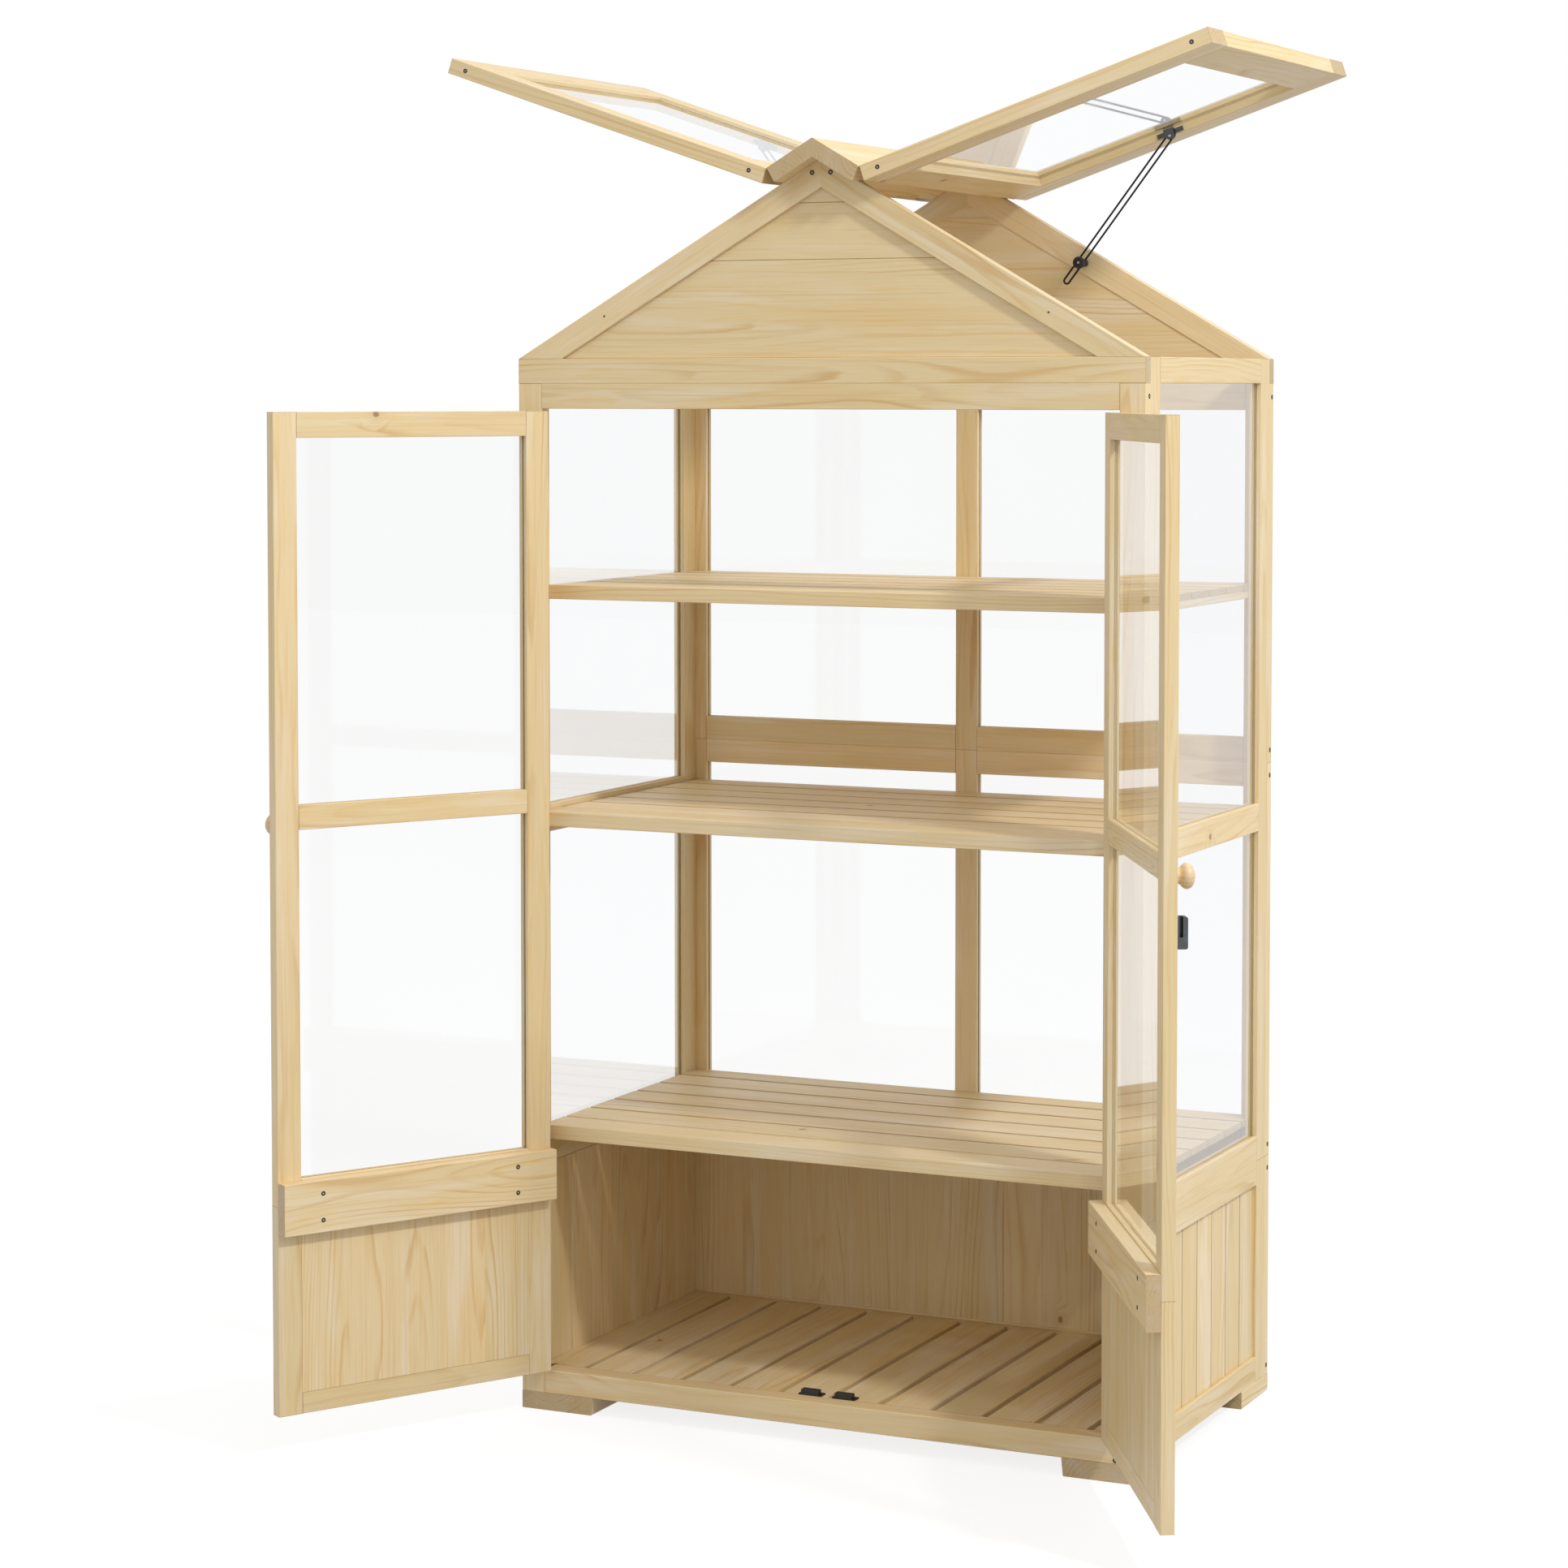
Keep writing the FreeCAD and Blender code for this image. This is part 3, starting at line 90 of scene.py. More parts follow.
# A screw head's rings, each a share of its radius and a height above the wood in metres, and
# its cross recess: the length and half width of an arm as shares of the radius, and two heights
HEAD_SIDES = 24
HEAD_RINGS = ((1.0, -0.0003), (1.0, 0.0002), (0.86, 0.0004))
RECESS_ARM, RECESS_HALF = 0.56, 0.13
RECESS_RIM, RECESS_FLOOR = 0.0004, -0.0008

# Door knobs: a short waist and a domed head, and where a knob's foot stands on its door
KNOB_PROFILE = [
    (10.2, 0.0), (9.6, 1.2), (9.5, 3.4), (10.6, 5.6), (13.0, 7.9), (14.9, 10.5),
    (15.5, 13.3), (14.9, 16.3), (12.9, 19.1), (9.3, 21.3), (4.6, 22.6), (0.4, 23.0),
]
KNOB_PLACE = (397, -259, 831)

# Stays: how far from the window's hinge the rivet sits, where the stud sits beside the middle
# and above the ground, and how deep in the dish of its knob, the last in metres
STUD_PROFILE = [(1.9, -0.4), (1.9, 0.1), (1.6, 0.5), (1.0, 0.8), (0.2, 0.9)]
STUD_SIDES, STUD_STEPS = 24, 2
RIVET_REACH = 252.5
STUD_ACROSS, STUD_UP, STUD_DEPTH = 178.8, 1573.3, 0.0008

# Camera at the photograph's viewing angle, in metres and degrees, its lens in millimetres
CAMERA_PLACE = (2.0831, -4.6233, 1.398)
CAMERA_DOWN, CAMERA_TURN = 2.876, 24.938
CAMERA_LENS, CAMERA_SENSOR = 87.681, 36
CAMERA_SHIFT_X, CAMERA_SHIFT_Y = -0.011, -0.13
CAMERA_NEAR, CAMERA_FAR = 0.05, 60

# Floor, and a key lamp high to the front right, in metres and watts
FLOOR_REACH = 16.0
KEY_PLACE, KEY_TARGET = Vector((3.5, -1.44, 4.09)), Vector((0, 0.15, 0.9))
KEY_SIZE, KEY_POWER = 0.42, 128


# Short calls for the shader nodes of one material or world
class Tree:
    def __init__(self, owner, output="ShaderNodeOutputMaterial"):
        owner.use_nodes = True
        self.owner = owner
        self.tree = owner.node_tree
        self.tree.nodes.clear()
        self.out = self.tree.nodes.new(output)

    def put(self, target, value):
        if isinstance(value, bpy.types.NodeSocket):
            self.tree.links.new(value, target)
        else:
            target.default_value = value

    def node(self, kind, inputs=(), **settings):
        made = self.tree.nodes.new(kind)
        for key, value in settings.items():
            setattr(made, key, value)
        for key, value in dict(inputs).items():
            self.put(made.inputs[key], value)
        return made

    def math(self, operation, a, b=0.0, c=0.0):
        return self.node("ShaderNodeMath", {0: a, 1: b, 2: c}, operation=operation).outputs[0]

    def times(self, a, b, plus=None):
        if plus is None:
            return self.math("MULTIPLY", a, b)
        return self.math("MULTIPLY_ADD", a, b, plus)

    # A noise about nought instead of a half
    def centred(self, value):
        return self.math("SUBTRACT", value, 0.5)

    def vector(self, x, y, z):
        return self.node("ShaderNodeCombineXYZ", {0: x, 1: y, 2: z}).outputs[0]

    def split(self, vector):
        return self.node("ShaderNodeSeparateXYZ", {0: vector}).outputs

    def noise(self, vector, scale, detail=3.0, rough=0.5, distortion=0.0):
        inputs = {
            "Vector": vector,
            "Scale": scale,
            "Detail": detail,
            "Roughness": rough,
            "Distortion": distortion,
        }
        return self.node("ShaderNodeTexNoise", inputs).outputs["Fac"]

    def span(self, value, low, high, to_low=0.0, to_high=1.0, kind="SMOOTHSTEP"):
        inputs = dict(enumerate((value, low, high, to_low, to_high)))
        return self.node("ShaderNodeMapRange", inputs, interpolation_type=kind).outputs[0]

    def mix(self, share, a, b, blend="MIX"):
        inputs = {0: share, 6: a, 7: b}
        return self.node("ShaderNodeMix", inputs, data_type="RGBA", blend_type=blend).outputs[2]

    def attribute(self, name, output="Vector"):
        return self.node("ShaderNodeAttribute", attribute_name=name).outputs[output]

    def bump(self, height, strength, distance):
        inputs = {"Height": height, "Strength": strength, "Distance": distance}
        return self.node("ShaderNodeBump", inputs).outputs[0]

    # 1 for what the eye sees, straight or in a mirror or pane, and 0 for light on the object
    def seen(self):
        path = self.node("ShaderNodeLightPath").outputs
        straight = self.math("MAXIMUM", path["Is Camera Ray"], path["Is Glossy Ray"])
        return self.math("MAXIMUM", straight, path["Is Transmission Ray"])

    def blend(self, share, first, second):
        inputs = {0: share, 1: first.outputs[0], 2: second.outputs[0]}
        return self.node("ShaderNodeMixShader", inputs)

    def surface(self, shader):
        self.tree.links.new(shader.outputs[0], self.out.inputs["Surface"])
        return self.owner


def material_tree(name):
    return Tree(bpy.data.materials.new(name))


def srgb(r, g, b):
    def linear(c):
        c = c / 255
        return c / 12.92 if c <= 0.04045 else ((c + 0.055) / 1.055) ** 2.4

    return (linear(r), linear(g), linear(b), 1.0)


# Pine colours: early and late wood, warm patches, bleached and resin streaks, knots, and the painted
# shade in joints
EARLY, LATE = srgb(227, 204, 158), srgb(206, 167, 106)
WARM, PALE, GOLD = srgb(226, 194, 132), srgb(232, 216, 186), srgb(227, 185, 90)
KNOT, JOINT_SHADOW_COLOUR = srgb(124, 80, 42), srgb(112, 76, 42)

# Growth rings lie this far apart, in metres, and the pith wanders by this much
RING_WIDTH, PITH_WANDER = 0.0056, 0.06

# Cells that can hold a knot, so many a metre along and across a board. A cell has one if its
# random draw lies above the share, and the rings bulge round it by this many metres
KNOT_CELLS, KNOT_SHARE, KNOT_BULGE = (7.0, 9.0), 0.965, 0.012

# How far the painted shade at a joint between boards, and at a board's end, darkens towards its
# colour
JOINT_SHADE, END_SHADE = 0.62, 0.4


# Pine with growth rings about a pith that lies beside each board
def pine(name, early=EARLY, late=LATE, warm=WARM, shine=0.42, knots=True):
    t = material_tree(name)
    u, v, w = t.split(t.attribute("grain"))
    tone = t.attribute("tone", "Fac")

    # The place in the trunk, scaled so that a noise has so many features a metre
    def stretched(along, across):
        return t.vector(t.times(u, along), t.times(v, across), t.times(w, across))

    # The pith wanders along the trunk, so flat sides show long arches
    def bent(place, across):
        return t.times(t.centred(t.noise(place, 1.0, 2.0, 0.4)), PITH_WANDER, across)

    flow = stretched(1.5, 5.0)
    other = t.node("ShaderNodeVectorMath", {0: flow, 1: (7.3, 2.1, 5.9)}).outputs[0]
    v_bent, w_bent = bent(flow, v), bent(other, w)
    radius = t.math("SQRT", t.math("ADD", t.times(v_bent, v_bent), t.times(w_bent, w_bent)))

    # Knots go straight through a board, and the rings flow round them
    cell = t.vector(t.times(u, KNOT_CELLS[0]), t.times(v, KNOT_CELLS[1]), 0.0)
    knot = t.node("ShaderNodeTexVoronoi", {"Vector": cell, "Scale": 1.0}, voronoi_dimensions="2D")
    draw = t.node("ShaderNodeSeparateColor", {0: knot.outputs["Color"]}).outputs[0]
    chosen = t.math("GREATER_THAN", draw, KNOT_SHARE)
    ragged = t.centred(t.noise(stretched(60.0, 60.0), 1.0, 2.0))
    distance = t.times(ragged, 0.03, knot.outputs["Distance"])
    halo = t.times(t.span(distance, 0.0, 0.22, 1.0, 0.0), chosen)
    core = t.times(t.span(distance, 0.022, 0.042, 1.0, 0.0), chosen)
    if knots:
        radius = t.times(halo, KNOT_BULGE, radius)

    # Growth rings: pale early wood, then a thin darker line that comes and goes
    wander = t.noise(stretched(5.0, 60.0), 1.0, 3.0)
    turns = t.times(wander, 1.0, t.math("DIVIDE", radius, RING_WIDTH))
    phase = t.math("FRACT", turns)
    line = t.times(t.span(phase, 0.48, 0.86), t.span(phase, 0.87, 1.0, 1.0, 0.0))
    fade = t.span(t.noise(stretched(1.6, 34.0), 1.0, 2.5), 0.40, 0.64, 0.10, 0.9)
    year = t.math("FRACT", t.times(t.math("FLOOR", turns), 0.377))
    line = t.times(line, t.times(fade, t.span(year, 0.0, 1.0, 0.25, 1.0, "LINEAR")))

    fibre = t.noise(stretched(14.0, 700.0), 1.0, 4.0, 0.62)
    strand = t.noise(stretched(3.5, 230.0), 1.0, 3.0, 0.6)
    cloud = t.noise(stretched(2.4, 16.0), 1.0, 3.0)
    bleach = t.noise(stretched(2.8, 30.0), 1.0, 3.0, 0.55)
    resin = t.noise(stretched(9.0, 90.0), 1.0, 3.0, 0.6, 0.4)

    colour = t.mix(t.span(cloud, 0.46, 0.74, 0.0, 0.45), early, warm)
    colour = t.mix(t.span(bleach, 0.48, 0.66, 0.0, 0.7), colour, PALE)
    colour = t.mix(t.span(strand, 0.52, 0.76, 0.0, 0.4), colour, late)
    colour = t.mix(line, colour, late)
    colour = t.mix(t.times(t.span(resin, 0.58, 0.72), t.times(line, 0.6, 0.3)), colour, GOLD)
    colour = t.mix(t.span(fibre, 0.40, 0.75, 0.0, 0.2), colour, late)
    if knots:
        colour = t.mix(t.times(t.math("POWER", halo, 3.0), 0.4), colour, late)
        colour = t.mix(t.times(core, 0.7), colour, KNOT)

    # Each board is a little lighter or darker, and yellower or greyer, than the next
    shade = t.span(tone, 0.0, 1.0, 0.94, 1.04, "LINEAR")
    blue = t.span(tone, 0.0, 1.0, 0.90, 1.06, "LINEAR")
    tint = t.node("ShaderNodeCombineColor", {0: shade, 1: shade, 2: blue}).outputs[0]
    colour = t.mix(1.0, colour, tint, "MULTIPLY")

    # Painted shade in the joints between neighbours, and a faint line of painted shade where a board
    # ends
    left, right, _ = t.split(t.attribute("rim"))
    start, end, _ = t.split(t.attribute("ends"))
    joint_shadow = t.span(t.math("MINIMUM", left, right), 0.0003, 0.0013, 1.0, 0.0)
    end_shadow = t.span(t.math("MINIMUM", start, end), 0.0002, 0.0009, 1.0, 0.0)
    colour = t.mix(t.times(joint_shadow, JOINT_SHADE), colour, JOINT_SHADOW_COLOUR)
    colour = t.mix(t.times(end_shadow, END_SHADE), colour, JOINT_SHADOW_COLOUR)

    height = t.math("ADD", t.times(line, 0.5), t.times(fibre, 0.7))
    inputs = {
        "Base Color": colour,
        "Roughness": t.math("ADD", t.times(fibre, 0.2), shine),
        "Normal": t.bump(height, 0.2, 0.0005),
        "Specular IOR Level": 0.78,
    }
    return t.surface(t.node("ShaderNodeBsdfPrincipled", inputs))


# How far the most worn spots take on the worn colour
WEAR = 0.35


# Enamelled or blackened metal, or plastic, with a little wear
def worn_finish(name, base, worn, metallic, rough):
    t = material_tree(name)
    place = t.node("ShaderNodeTexCoord").outputs["Object"]
    blotch = t.noise(place, 90.0, 4.0, 0.6)
    fine = t.noise(place, 900.0, 3.0, 0.6)
    inputs = {
        "Base Color": t.mix(t.span(blotch, 0.52, 0.8, 0.0, WEAR), base, worn),
        "Roughness": t.times(blotch, 0.2, rough),
        "Normal": t.bump(fine, 0.15, 0.0002),
        "Metallic": metallic,
    }
    return t.surface(t.node("ShaderNodeBsdfPrincipled", inputs))


# A clear sheet's tints, the share of light it mirrors straight on, and what a slant adds: the
# higher the power, the later it does
PANE_TINTS = (0.968, 0.970, 0.972, 1), (0.978, 0.979, 0.981, 1)
MIRROR_STRAIGHT, MIRROR_SLANT, MIRROR_POWER = 0.04, 0.88, 2.3


# Clear acrylic sheet: the face that meets the light mirrors a little, more at a slant
def acrylic(name):
    t = material_tree(name)
    place = t.node("ShaderNodeTexCoord").outputs["Object"]
    ripple = t.noise(place, 2.2, 2.0)
    haze = t.noise(place, 7.0, 3.0)
    clear = t.node("ShaderNodeBsdfTransparent", {"Color": t.mix(haze, *PANE_TINTS)})
    inputs = {
        "Color": (0.97, 0.98, 0.99, 1),
        "Roughness": t.span(haze, 0.2, 0.8, 0.015, 0.05),
        "Normal": t.bump(ripple, 0.06, 0.003),
    }
    gloss = t.node("ShaderNodeBsdfGlossy", inputs)
    slant = t.node("ShaderNodeLayerWeight", {"Blend": 0.5}).outputs["Facing"]
    share = t.times(t.math("POWER", slant, MIRROR_POWER), MIRROR_SLANT, MIRROR_STRAIGHT)
    inside = t.node("ShaderNodeNewGeometry").outputs["Backfacing"]
    share = t.times(share, t.math("SUBTRACT", 1.0, inside))
    return t.surface(t.blend(share, clear, gloss))


TURNED_COLOURS = srgb(221, 196, 156), srgb(201, 168, 124), srgb(217, 185, 137)
pine_board = pine("pine_board")
pine_turned = pine("pine_turned", *TURNED_COLOURS, shine=0.34, knots=False)
black_enamel = worn_finish("black_enamel", srgb(34, 34, 36), srgb(70, 70, 72), 0.75, 0.38)
grey_enamel = worn_finish("grey_enamel", srgb(84, 88, 91), srgb(118, 122, 126), 0.8, 0.36)
zinc = worn_finish("zinc_steel", srgb(170, 172, 174), srgb(120, 121, 122), 1.0, 0.32)
screw_steel = worn_finish("screw_steel", srgb(58, 60, 62), srgb(120, 122, 124), 0.85, 0.34)
catch_plastic = worn_finish("catch_plastic", srgb(30, 30, 31), srgb(58, 58, 60), 0.0, 0.42)
FINISH = {
    "pine_wood": pine_board,
    "turned_wood": pine_turned,
    "clear_pane": acrylic("clear_acrylic"),
    "hinge_steel": zinc,
    "dark_metal": black_enamel,
    "black_plastic": catch_plastic,
}
GREY_NODES = ("latch_keeper", "latch_plate", "latch_bar", "left_stay_bracket", "right_stay_bracket")


# A point as whole hundredths of a millimetre, to tell which corners meet
def whole(point):
    return tuple(round(c * 1e5) for c in point)


# A direction without its sign, coarse enough to gather nearly parallel ones
def bearing(direction):
    return tuple(round(abs(c) * 50) for c in direction)


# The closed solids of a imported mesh, which follow one another in it
def solids_of(mesh):
    corner = [whole(v.co) for v in mesh.vertices]
    solids, current, open_edges = [], [], {}
    for polygon in mesh.polygons:
        ring = [corner[i] for i in polygon.vertices]
        for a, b in zip(ring, ring[1:] + ring[:1]):
            if a == b:
                continue
            if open_edges.get((b, a), 0) > 0:
                open_edges[(b, a)] -= 1
                if not open_edges[(b, a)]:
                    del open_edges[(b, a)]
            else:
                open_edges[(a, b)] = open_edges.get((a, b), 0) + 1
        current.append(polygon)
        if not open_edges:
            solids.append(current)
            current = []
    if current:
        solids.append(current)
    return solids


# The way the grain runs in a board, and the normal of its broad face
def board_axes(mesh, polygons):
    lengths, areas, shared = {}, {}, {}
    for polygon in polygons:
        normal = polygon.normal.copy()
        mark = bearing(normal)
        areas[mark] = (areas.get(mark, (0, None))[0] + polygon.area, normal)
        ring = list(polygon.vertices)
        for a, b in zip(ring, ring[1:] + ring[:1]):
            pa, pb = mesh.vertices[a].co, mesh.vertices[b].co
            edge = tuple(sorted([whole(pa), whole(pb)]))
            shared.setdefault(edge, []).append((normal, pb - pa))
    # An edge between two faces of one plane is left out, as it is no edge of the board
    for meeting in shared.values():
        flat = len(meeting) > 1 and meeting[0][0].dot(meeting[1][0]) > 0.999
        along = meeting[0][1]
        if flat or along.length < 1e-5:
            continue
        unit = along.normalized()
        mark = bearing(unit)
        lengths[mark] = (lengths.get(mark, (0, None))[0] + along.length, unit)
    grain = max(lengths.values(), key=lambda item: item[0])[1]
    broad = max(
        (item for item in areas.values() if abs(item[1].dot(grain)) < 0.3),
        key=lambda item: item[0],
        default=(0, grain.orthogonal()),
    )[1]
    return grain, (broad - grain * broad.dot(grain)).normalized()


# Boards with painted shade along the open joint to their neighbour, and the side of them that shows
# it
SHADED_JOINT_SIDES = {
    "front_gable_boards": (0, -1, 0),
    "rear_gable_boards": (0, 1, 0),
    "left_base_boards": (-1, 0, 0),
    "right_base_boards": (1, 0, 0),
    "back_base_boards": (0, 1, 0),
    "top_shelf_slats": (0, 0, 1),
    "middle_shelf_slats": (0, 0, 1),
    "bottom_shelf_slats": (0, 0, 1),
}

# Neighbours' middles lie level to within LEVEL and beside each other to within LENGTHWISE.
# They are apart sideways by more than SIDEWAYS, and by less than so many half widths
LEVEL, LENGTHWISE, SIDEWAYS = 0.004, 0.5, 0.01
HALF_WIDTHS = 4

# A board is cut anywhere along its trunk. The pith lies beside its middle by up to a share of
# its half width, and in front of it or behind it by a distance between two
TRUNK_LENGTH, PITH_SHARE, PITH_NEAR, PITH_FAR = 60, 0.8, 0.018, 0.06


class Board:
    def __init__(self, mesh, polygons):
        self.grain, self.broad = board_axes(mesh, polygons)
        self.side = self.broad.cross(self.grain)
        self.ids = sorted({i for p in polygons for i in p.vertices})
        self.points = [mesh.vertices[i].co for i in self.ids]
        self.middle = sum(self.points, Vector()) / len(self.points)

    def reach(self, axis):
        along = [p.dot(axis) for p in self.points]
        return min(along), max(along)

    # Whether a neighbour lies level with this board on its low side, and on its high side
    def neighbours(self, boards, half):
        low = high = False
        for other in boards:
            gap = other.middle - self.middle
            if abs(gap.dot(self.broad)) < LEVEL and abs(gap.dot(self.grain)) < LENGTHWISE:
                if SIDEWAYS < gap.dot(self.side) < HALF_WIDTHS * half:
                    high = True
                elif SIDEWAYS < -gap.dot(self.side) < HALF_WIDTHS * half:
                    low = True
        return low, high


# Writes lists of numbers, one or three for each vertex, as attributes of a mesh
def write_attributes(mesh, **lists):
    for name, numbers in lists.items():
        if len(numbers) == len(mesh.vertices):
            mesh.attributes.new(name, "FLOAT", "POINT").data.foreach_set("value", numbers)
        else:
            made = mesh.attributes.new(name, "FLOAT_VECTOR", "POINT")
            made.data.foreach_set("vector", numbers)


# Gives each board its own place in a trunk, and its vertices their distance from its rims, along
# which the pine paints shade.
# The distances to two rims are kept apart, because the least of both is no use between corners
def mark_grain(mesh, name):
    count = len(mesh.vertices)
    place, tone = [0.0] * (3 * count), [0.0] * count
    rim, ends = [1.0] * (3 * count), [1.0] * (3 * count)
    shown = Vector(SHADED_JOINT_SIDES.get(name, (0, 0, 0)))
    boards = [Board(mesh, polygons) for polygons in solids_of(mesh)]
    for number, board in enumerate(boards):
        start, end = board.reach(board.grain)
        low, high = board.reach(board.side)
        half = (high - low) / 2
        dice = random.Random(zlib.crc32(f"{name}{number}".encode()))
        flip = -1 if dice.random() < 0.5 else 1
        shift_u = dice.uniform(0, TRUNK_LENGTH)
        shift_v = dice.uniform(-PITH_SHARE, PITH_SHARE) * half
        shift_w = dice.choice((-1, 1)) * dice.uniform(PITH_NEAR, PITH_FAR)
        value = dice.random()
        joint_low, joint_high = board.neighbours(boards, half) if name in SHADED_JOINT_SIDES else (False, False)
        for i, p in zip(board.ids, board.points):
            d = p - board.middle
            u, v, w = d.dot(board.grain), d.dot(board.side), d.dot(board.broad)
            along, across = p.dot(board.grain), p.dot(board.side)
            # A rim without a joint, or on the board's hidden side, counts as far away and gets no
            # painted shade
            hidden = 1.0 if d.dot(shown) < 0 else 0.0
            left = across - low + (not joint_low) + hidden
            right = high - across + (not joint_high) + hidden
            place[3 * i : 3 * i + 3] = (u * flip + shift_u, v + shift_v, w + shift_w)
            rim[3 * i : 3 * i + 3] = (left, right, 0.0)
            ends[3 * i : 3 * i + 3] = (along - start, end - along, 0.0)
            tone[i] = value
    write_attributes(mesh, grain=place, rim=rim, ends=ends, tone=tone)


for name, node in cad.items():
    slot_name = node.data.materials[0].name.split(".")[0]
    node.data.materials[0] = grey_enamel if name in GREY_NODES else FINISH[slot_name]
    if slot_name in ("pine_wood", "turned_wood"):
        mark_grain(node.data, name)


# A mesh piece that rides on a body, in the material given
def piece(name, verts, faces, material, body, smooth=False):
    mesh = bpy.data.meshes.new(name)
    mesh.from_pydata(verts, [], faces)
    mesh.validate()
    mesh.materials.append(material)
    mesh.polygons.foreach_set("use_smooth", [smooth] * len(mesh.polygons))
    made = bpy.data.objects.new(name, mesh)
    scene.collection.objects.link(made)
    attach(made, body)
    return made


def axes_for(normal):
    normal = Vector(normal).normalized()
    lead = Vector((0, 0, 1)) if abs(normal.z) < 0.9 else Vector((1, 0, 0))
    first = lead.cross(normal).normalized()
    return first, normal.cross(first), normal


# The quads between rings of vertices that follow one another in a mesh
def ring_faces(base, rings, sides):
    faces = []
    for k in range(rings - 1):
        low, high = base + k * sides, base + (k + 1) * sides
        for i in range(sides):
            j = (i + 1) % sides
            faces.append((low + i, low + j, high + j, high + i))
    return faces


# The corner of a screw head's top that lies next to a point of its recess
def head_corner(point):
    turn = math.atan2(point[1], point[0]) % (2 * math.pi)
    return int(round(turn / (2 * math.pi) * HEAD_SIDES)) % HEAD_SIDES


# Countersunk screw heads with a cross recess, all of one body in one piece
def screws(name, body, places, radius):
    verts, faces = [], []
    arm, half = RECESS_ARM * radius, RECESS_HALF * radius
    cross = [(arm, -half), (arm, half), (half, half), (half, arm), (-half, arm), (-half, half)]
    cross += [(-x, -y) for x, y in cross]
    corners = len(cross)
    for number, (point, normal) in enumerate(places):
        first, second, out = axes_for(normal)
        dice = random.Random(zlib.crc32(f"{name}{number}".encode()))
        turn = dice.uniform(0, math.pi)
        a = first * math.cos(turn) + second * math.sin(turn)
        b = second * math.cos(turn) - first * math.sin(turn)
        base = len(verts)
        for share, height in HEAD_RINGS:
            for i in range(HEAD_SIDES):
                angle = 2 * math.pi * i / HEAD_SIDES
                around = a * math.cos(angle) + b * math.sin(angle)
                verts.append(point + around * radius * share + out * height)
        faces += ring_faces(base, len(HEAD_RINGS), HEAD_SIDES)
        top = len(verts)
        for height in (RECESS_RIM, RECESS_FLOOR):
            verts += [point + a * x + b * y + out * height for x, y in cross]
        for i in range(corners):
            j = (i + 1) % corners
            faces.append((top + i, top + corners + i, top + corners + j, top + j))
        faces.append(tuple(top + corners + i for i in range(corners)))
        # The flat top, fanned between the rim and the recess
        rim = base + (len(HEAD_RINGS) - 1) * HEAD_SIDES
        for i in range(corners):
            j = (i + 1) % corners
            start, end = head_corner(cross[i]), head_corner(cross[j])
            strip = [rim + start]
            while start != end:
                start = (start + 1) % HEAD_SIDES
                strip.append(rim + start)
            faces.append(tuple([top + i] + strip + [top + j]))
    return piece(name, verts, faces, screw_steel, body)


# A point given in millimetres from the cabinet's own middle
def at(x, y, z):
    return Vector((x / 1000, y / 1000 + MIDDLE_Y, z / 1000))


places = [(at(x, CABINET_FRONT, z), FRONT) for x, z in FRONT_SCREWS]
for side, _ in SIDES:
    places += [(at(side * CABINET_SIDE, y, z), (side, 0, 0)) for y, z in SIDE_SCREWS]
screws("cabinet_screws", "cabinet", places, CABINET_SCREW)
places = [(at(x, CABINET_FRONT, z), FRONT) for x, z in GABLE_PINS]
screws("gable_pins", "cabinet", places, GABLE_PIN)


# A point of an open door: s from its hinge, y and z as with the door closed
def on_door(side, s, y, z):
    turn = side * DOOR_OPEN
    x, y = -side * s, y - DOOR_AXIS[1]
    swung = (x * math.cos(turn) - y * math.sin(turn), x * math.sin(turn) + y * math.cos(turn))
    return at(side * DOOR_AXIS[0] + swung[0], DOOR_AXIS[1] + swung[1], z)


# A point of an open window: s from its hinge, b above its hinge's plane
def on_window(side, s, y, b):
    x = WINDOW_AXIS[0] + s * math.cos(WINDOW_RISE) - b * math.sin(WINDOW_RISE)
    z = WINDOW_AXIS[1] + s * math.sin(WINDOW_RISE) + b * math.cos(WINDOW_RISE)
    return at(side * x, y, z)


for side, label in SIDES:
    turn = side * DOOR_OPEN
    inward = (-math.sin(turn), math.cos(turn), 0)
    places = [(on_door(side, *place), inward) for place in CROSS_BOARD_SCREWS]
    screws(f"{label}_cross_board_screws", f"{label}_door", places, CROSS_BOARD_SCREW)
    places = [(on_window(side, *place), FRONT) for place in WINDOW_SCREWS]
    screws(f"{label}_window_screws", f"{label}_window", places, WINDOW_SCREW)


# A profile (radius, height) made smooth by a curve through its points
def smooth_profile(profile, steps):
    points = []
    last = len(profile) - 1
    for k in range(last):
        around = (profile[max(k - 1, 0)], profile[k], profile[k + 1], profile[min(k + 2, last)])
        for i in range(steps):
            f = i / steps
            points.append(tuple(
                0.5 * (2 * b + (c - a) * f + (2 * a - 5 * b + 4 * c - d) * f**2
                       + (3 * b - a - 3 * c + d) * f**3)
                for a, b, c, d in zip(*around)
            ))
    return points + [profile[-1]]


# A smooth turned form: rings of a profile in millimetres about an axis
def turned(name, profile, foot, out, material, body, sides=48, steps=4):
    first, second, out = axes_for(out)
    points = smooth_profile(profile, steps)
    verts = []
    for radius, height in points:
        for i in range(sides):
            angle = 2 * math.pi * i / sides
            around = first * math.cos(angle) + second * math.sin(angle)
            verts.append(foot + around * radius / 1000 + out * height / 1000)
    faces = ring_faces(0, len(points), sides)
    faces.append(tuple(range(sides))[::-1])
    faces.append(tuple((len(points) - 1) * sides + i for i in range(sides)))
    return piece(name, verts, faces, material, body, True)


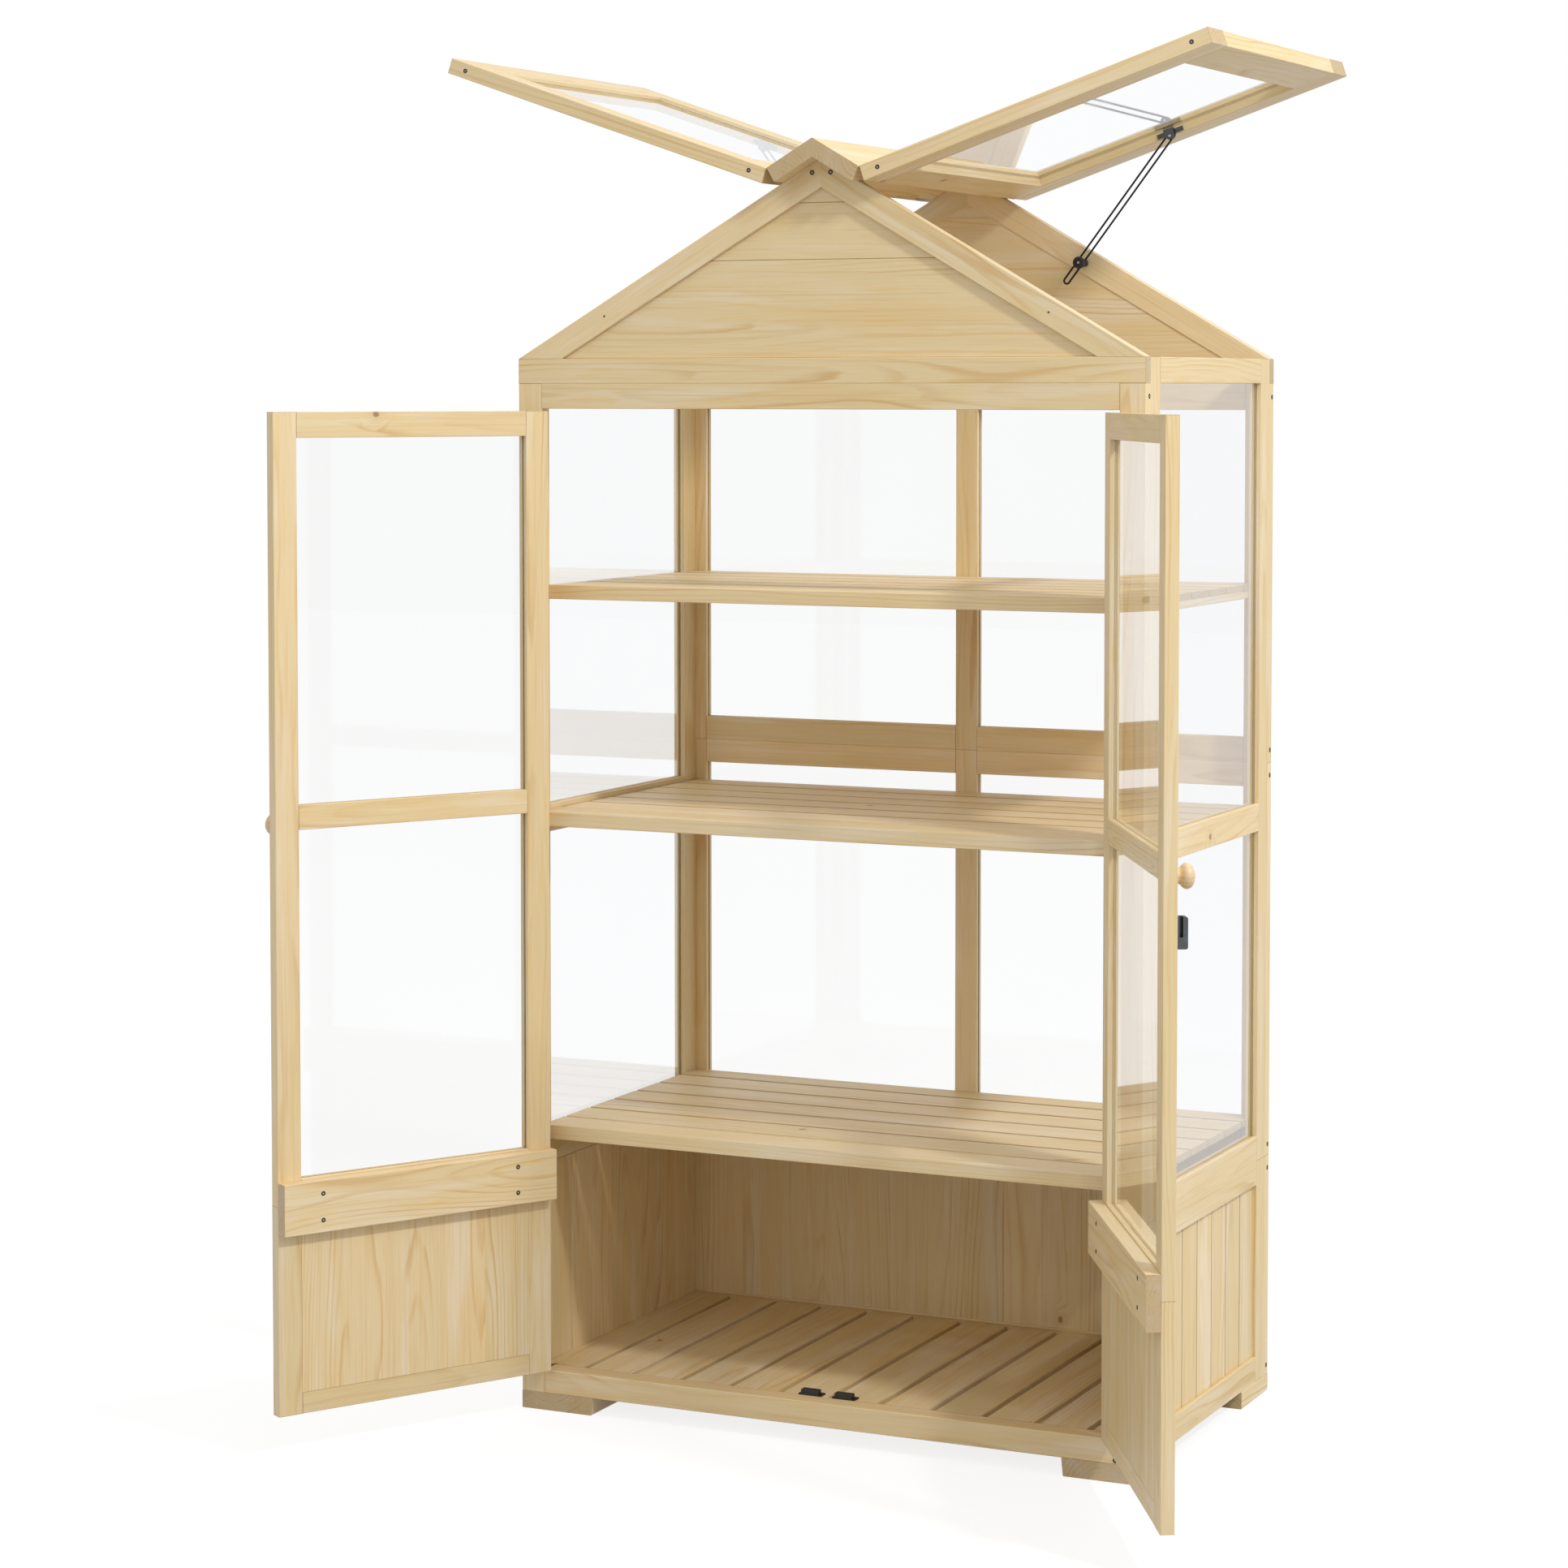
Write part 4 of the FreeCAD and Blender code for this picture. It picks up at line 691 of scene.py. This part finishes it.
# Door knobs, each turned from one piece of wood. In the trunk its foot lies this far beside the
# pith, in metres, and the two knobs lie apart, so that their grain differs
KNOB_TONE = 0.7
KNOB_UP, KNOB_ACROSS, KNOB_APART = 0.004, 0.006, 0.3
for side, label in SIDES:
    turn = side * DOOR_OPEN
    outward = Vector((math.sin(turn), -math.cos(turn), 0))
    across = Vector((outward.y, -outward.x, 0))
    foot = on_door(side, *KNOB_PLACE)
    knob = turned(
        f"{label}_knob", KNOB_PROFILE, foot, outward, pine_turned, f"{label}_door"
    )
    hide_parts(f"{label}_door_knob")
    grain = []
    for v in knob.data.vertices:
        d = v.co - foot
        grain += (d.dot(outward), d.z + KNOB_UP + KNOB_APART * side, d.dot(across) + KNOB_ACROSS)
    far = [1.0] * len(grain)
    tone = [KNOB_TONE] * len(knob.data.vertices)
    write_attributes(knob.data, grain=grain, rim=far, ends=far, tone=tone)

# Bright rivet in each stay bracket, and bright stud end in the dish of each stay knob
for side, label in SIDES:
    rivet = on_window(side, RIVET_REACH, 0, -WINDOW_UNDERSIDE)
    rivet.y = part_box(f"{label}_stay_bracket")[0][1]
    stud = at(side * STUD_ACROSS, 0, STUD_UP)
    stud.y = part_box(f"{label}_stay_knob")[0][1] + STUD_DEPTH
    for name, foot, body in (("rivet", rivet, "window"), ("stud", stud, "stay_knob")):
        turned(
            f"{label}_stay_{name}", STUD_PROFILE, foot, FRONT, zinc, f"{label}_{body}",
            STUD_SIDES, STUD_STEPS,
        )

camera_data = bpy.data.cameras.new("camera")
camera = bpy.data.objects.new("camera", camera_data)
scene.collection.objects.link(camera)
camera.location = CAMERA_PLACE
camera.rotation_euler = (math.radians(90 - CAMERA_DOWN), 0, math.radians(CAMERA_TURN))
camera_data.lens = CAMERA_LENS
camera_data.sensor_width = CAMERA_SENSOR
camera_data.shift_x, camera_data.shift_y = CAMERA_SHIFT_X, CAMERA_SHIFT_Y
camera_data.clip_start, camera_data.clip_end = CAMERA_NEAR, CAMERA_FAR
scene.camera = camera

# Plain pale floor: white to the eye with a faint shadow, and a soft grey as it lights the object
FLOOR_BOUNCE, FLOOR_SEEN, FLOOR_GLOW = 0.45, 0.2, 0.835
floor_mesh = bpy.data.meshes.new("floor")
corners = [(x * FLOOR_REACH, y * FLOOR_REACH, 0) for x, y in ((-1, -1), (1, -1), (1, 1), (-1, 1))]
floor_mesh.from_pydata(corners, [], [(0, 1, 2, 3)])
floor = bpy.data.objects.new("floor", floor_mesh)
scene.collection.objects.link(floor)
t = material_tree("pale_floor")
matte = t.node("ShaderNodeBsdfDiffuse", {"Color": (FLOOR_BOUNCE, FLOOR_BOUNCE, FLOOR_BOUNCE, 1)})
lit = t.node("ShaderNodeBsdfDiffuse", {"Color": (FLOOR_SEEN, FLOOR_SEEN, FLOOR_SEEN, 1)})
glow = t.node("ShaderNodeEmission", {"Color": (1, 1, 1, 1), "Strength": FLOOR_GLOW})
bright = t.node("ShaderNodeAddShader", {0: lit.outputs[0], 1: glow.outputs[0]})
floor_mesh.materials.append(t.surface(t.blend(t.seen(), matte, bright)))

# World: white to the eye. As light it is a studio dome, which brightens between two heights,
# 0 being level and 1 overhead, and a little towards the right
DOME_LOW, DOME_HIGH, DOME_RIGHT = 0.70, 0.90, 0.06
DOME_HEIGHTS = (0.04, 0.55)
scene.world = bpy.data.worlds.new("studio")
sky = Tree(scene.world, "ShaderNodeOutputWorld")
right, _, up = sky.split(sky.node("ShaderNodeTexCoord").outputs["Generated"])
overhead = sky.span(up, *DOME_HEIGHTS, DOME_LOW, DOME_HIGH)
dome = sky.times(overhead, sky.times(right, DOME_RIGHT, 1.0))
soft = sky.node("ShaderNodeBackground", {"Color": (1, 1, 1, 1), "Strength": dome})
white = sky.node("ShaderNodeBackground", {"Color": (1, 1, 1, 1), "Strength": 1.0})
sky.surface(sky.blend(sky.seen(), soft, white))

# Key light: a soft box
key_data = bpy.data.lights.new("key", "AREA")
key_data.shape = "RECTANGLE"
key_data.size = key_data.size_y = KEY_SIZE
key_data.energy = KEY_POWER
key = bpy.data.objects.new("key", key_data)
scene.collection.objects.link(key)
key.location = KEY_PLACE
key.rotation_euler = (KEY_TARGET - KEY_PLACE).to_track_quat("-Z", "Y").to_euler()

scene.view_settings.view_transform = "Standard"
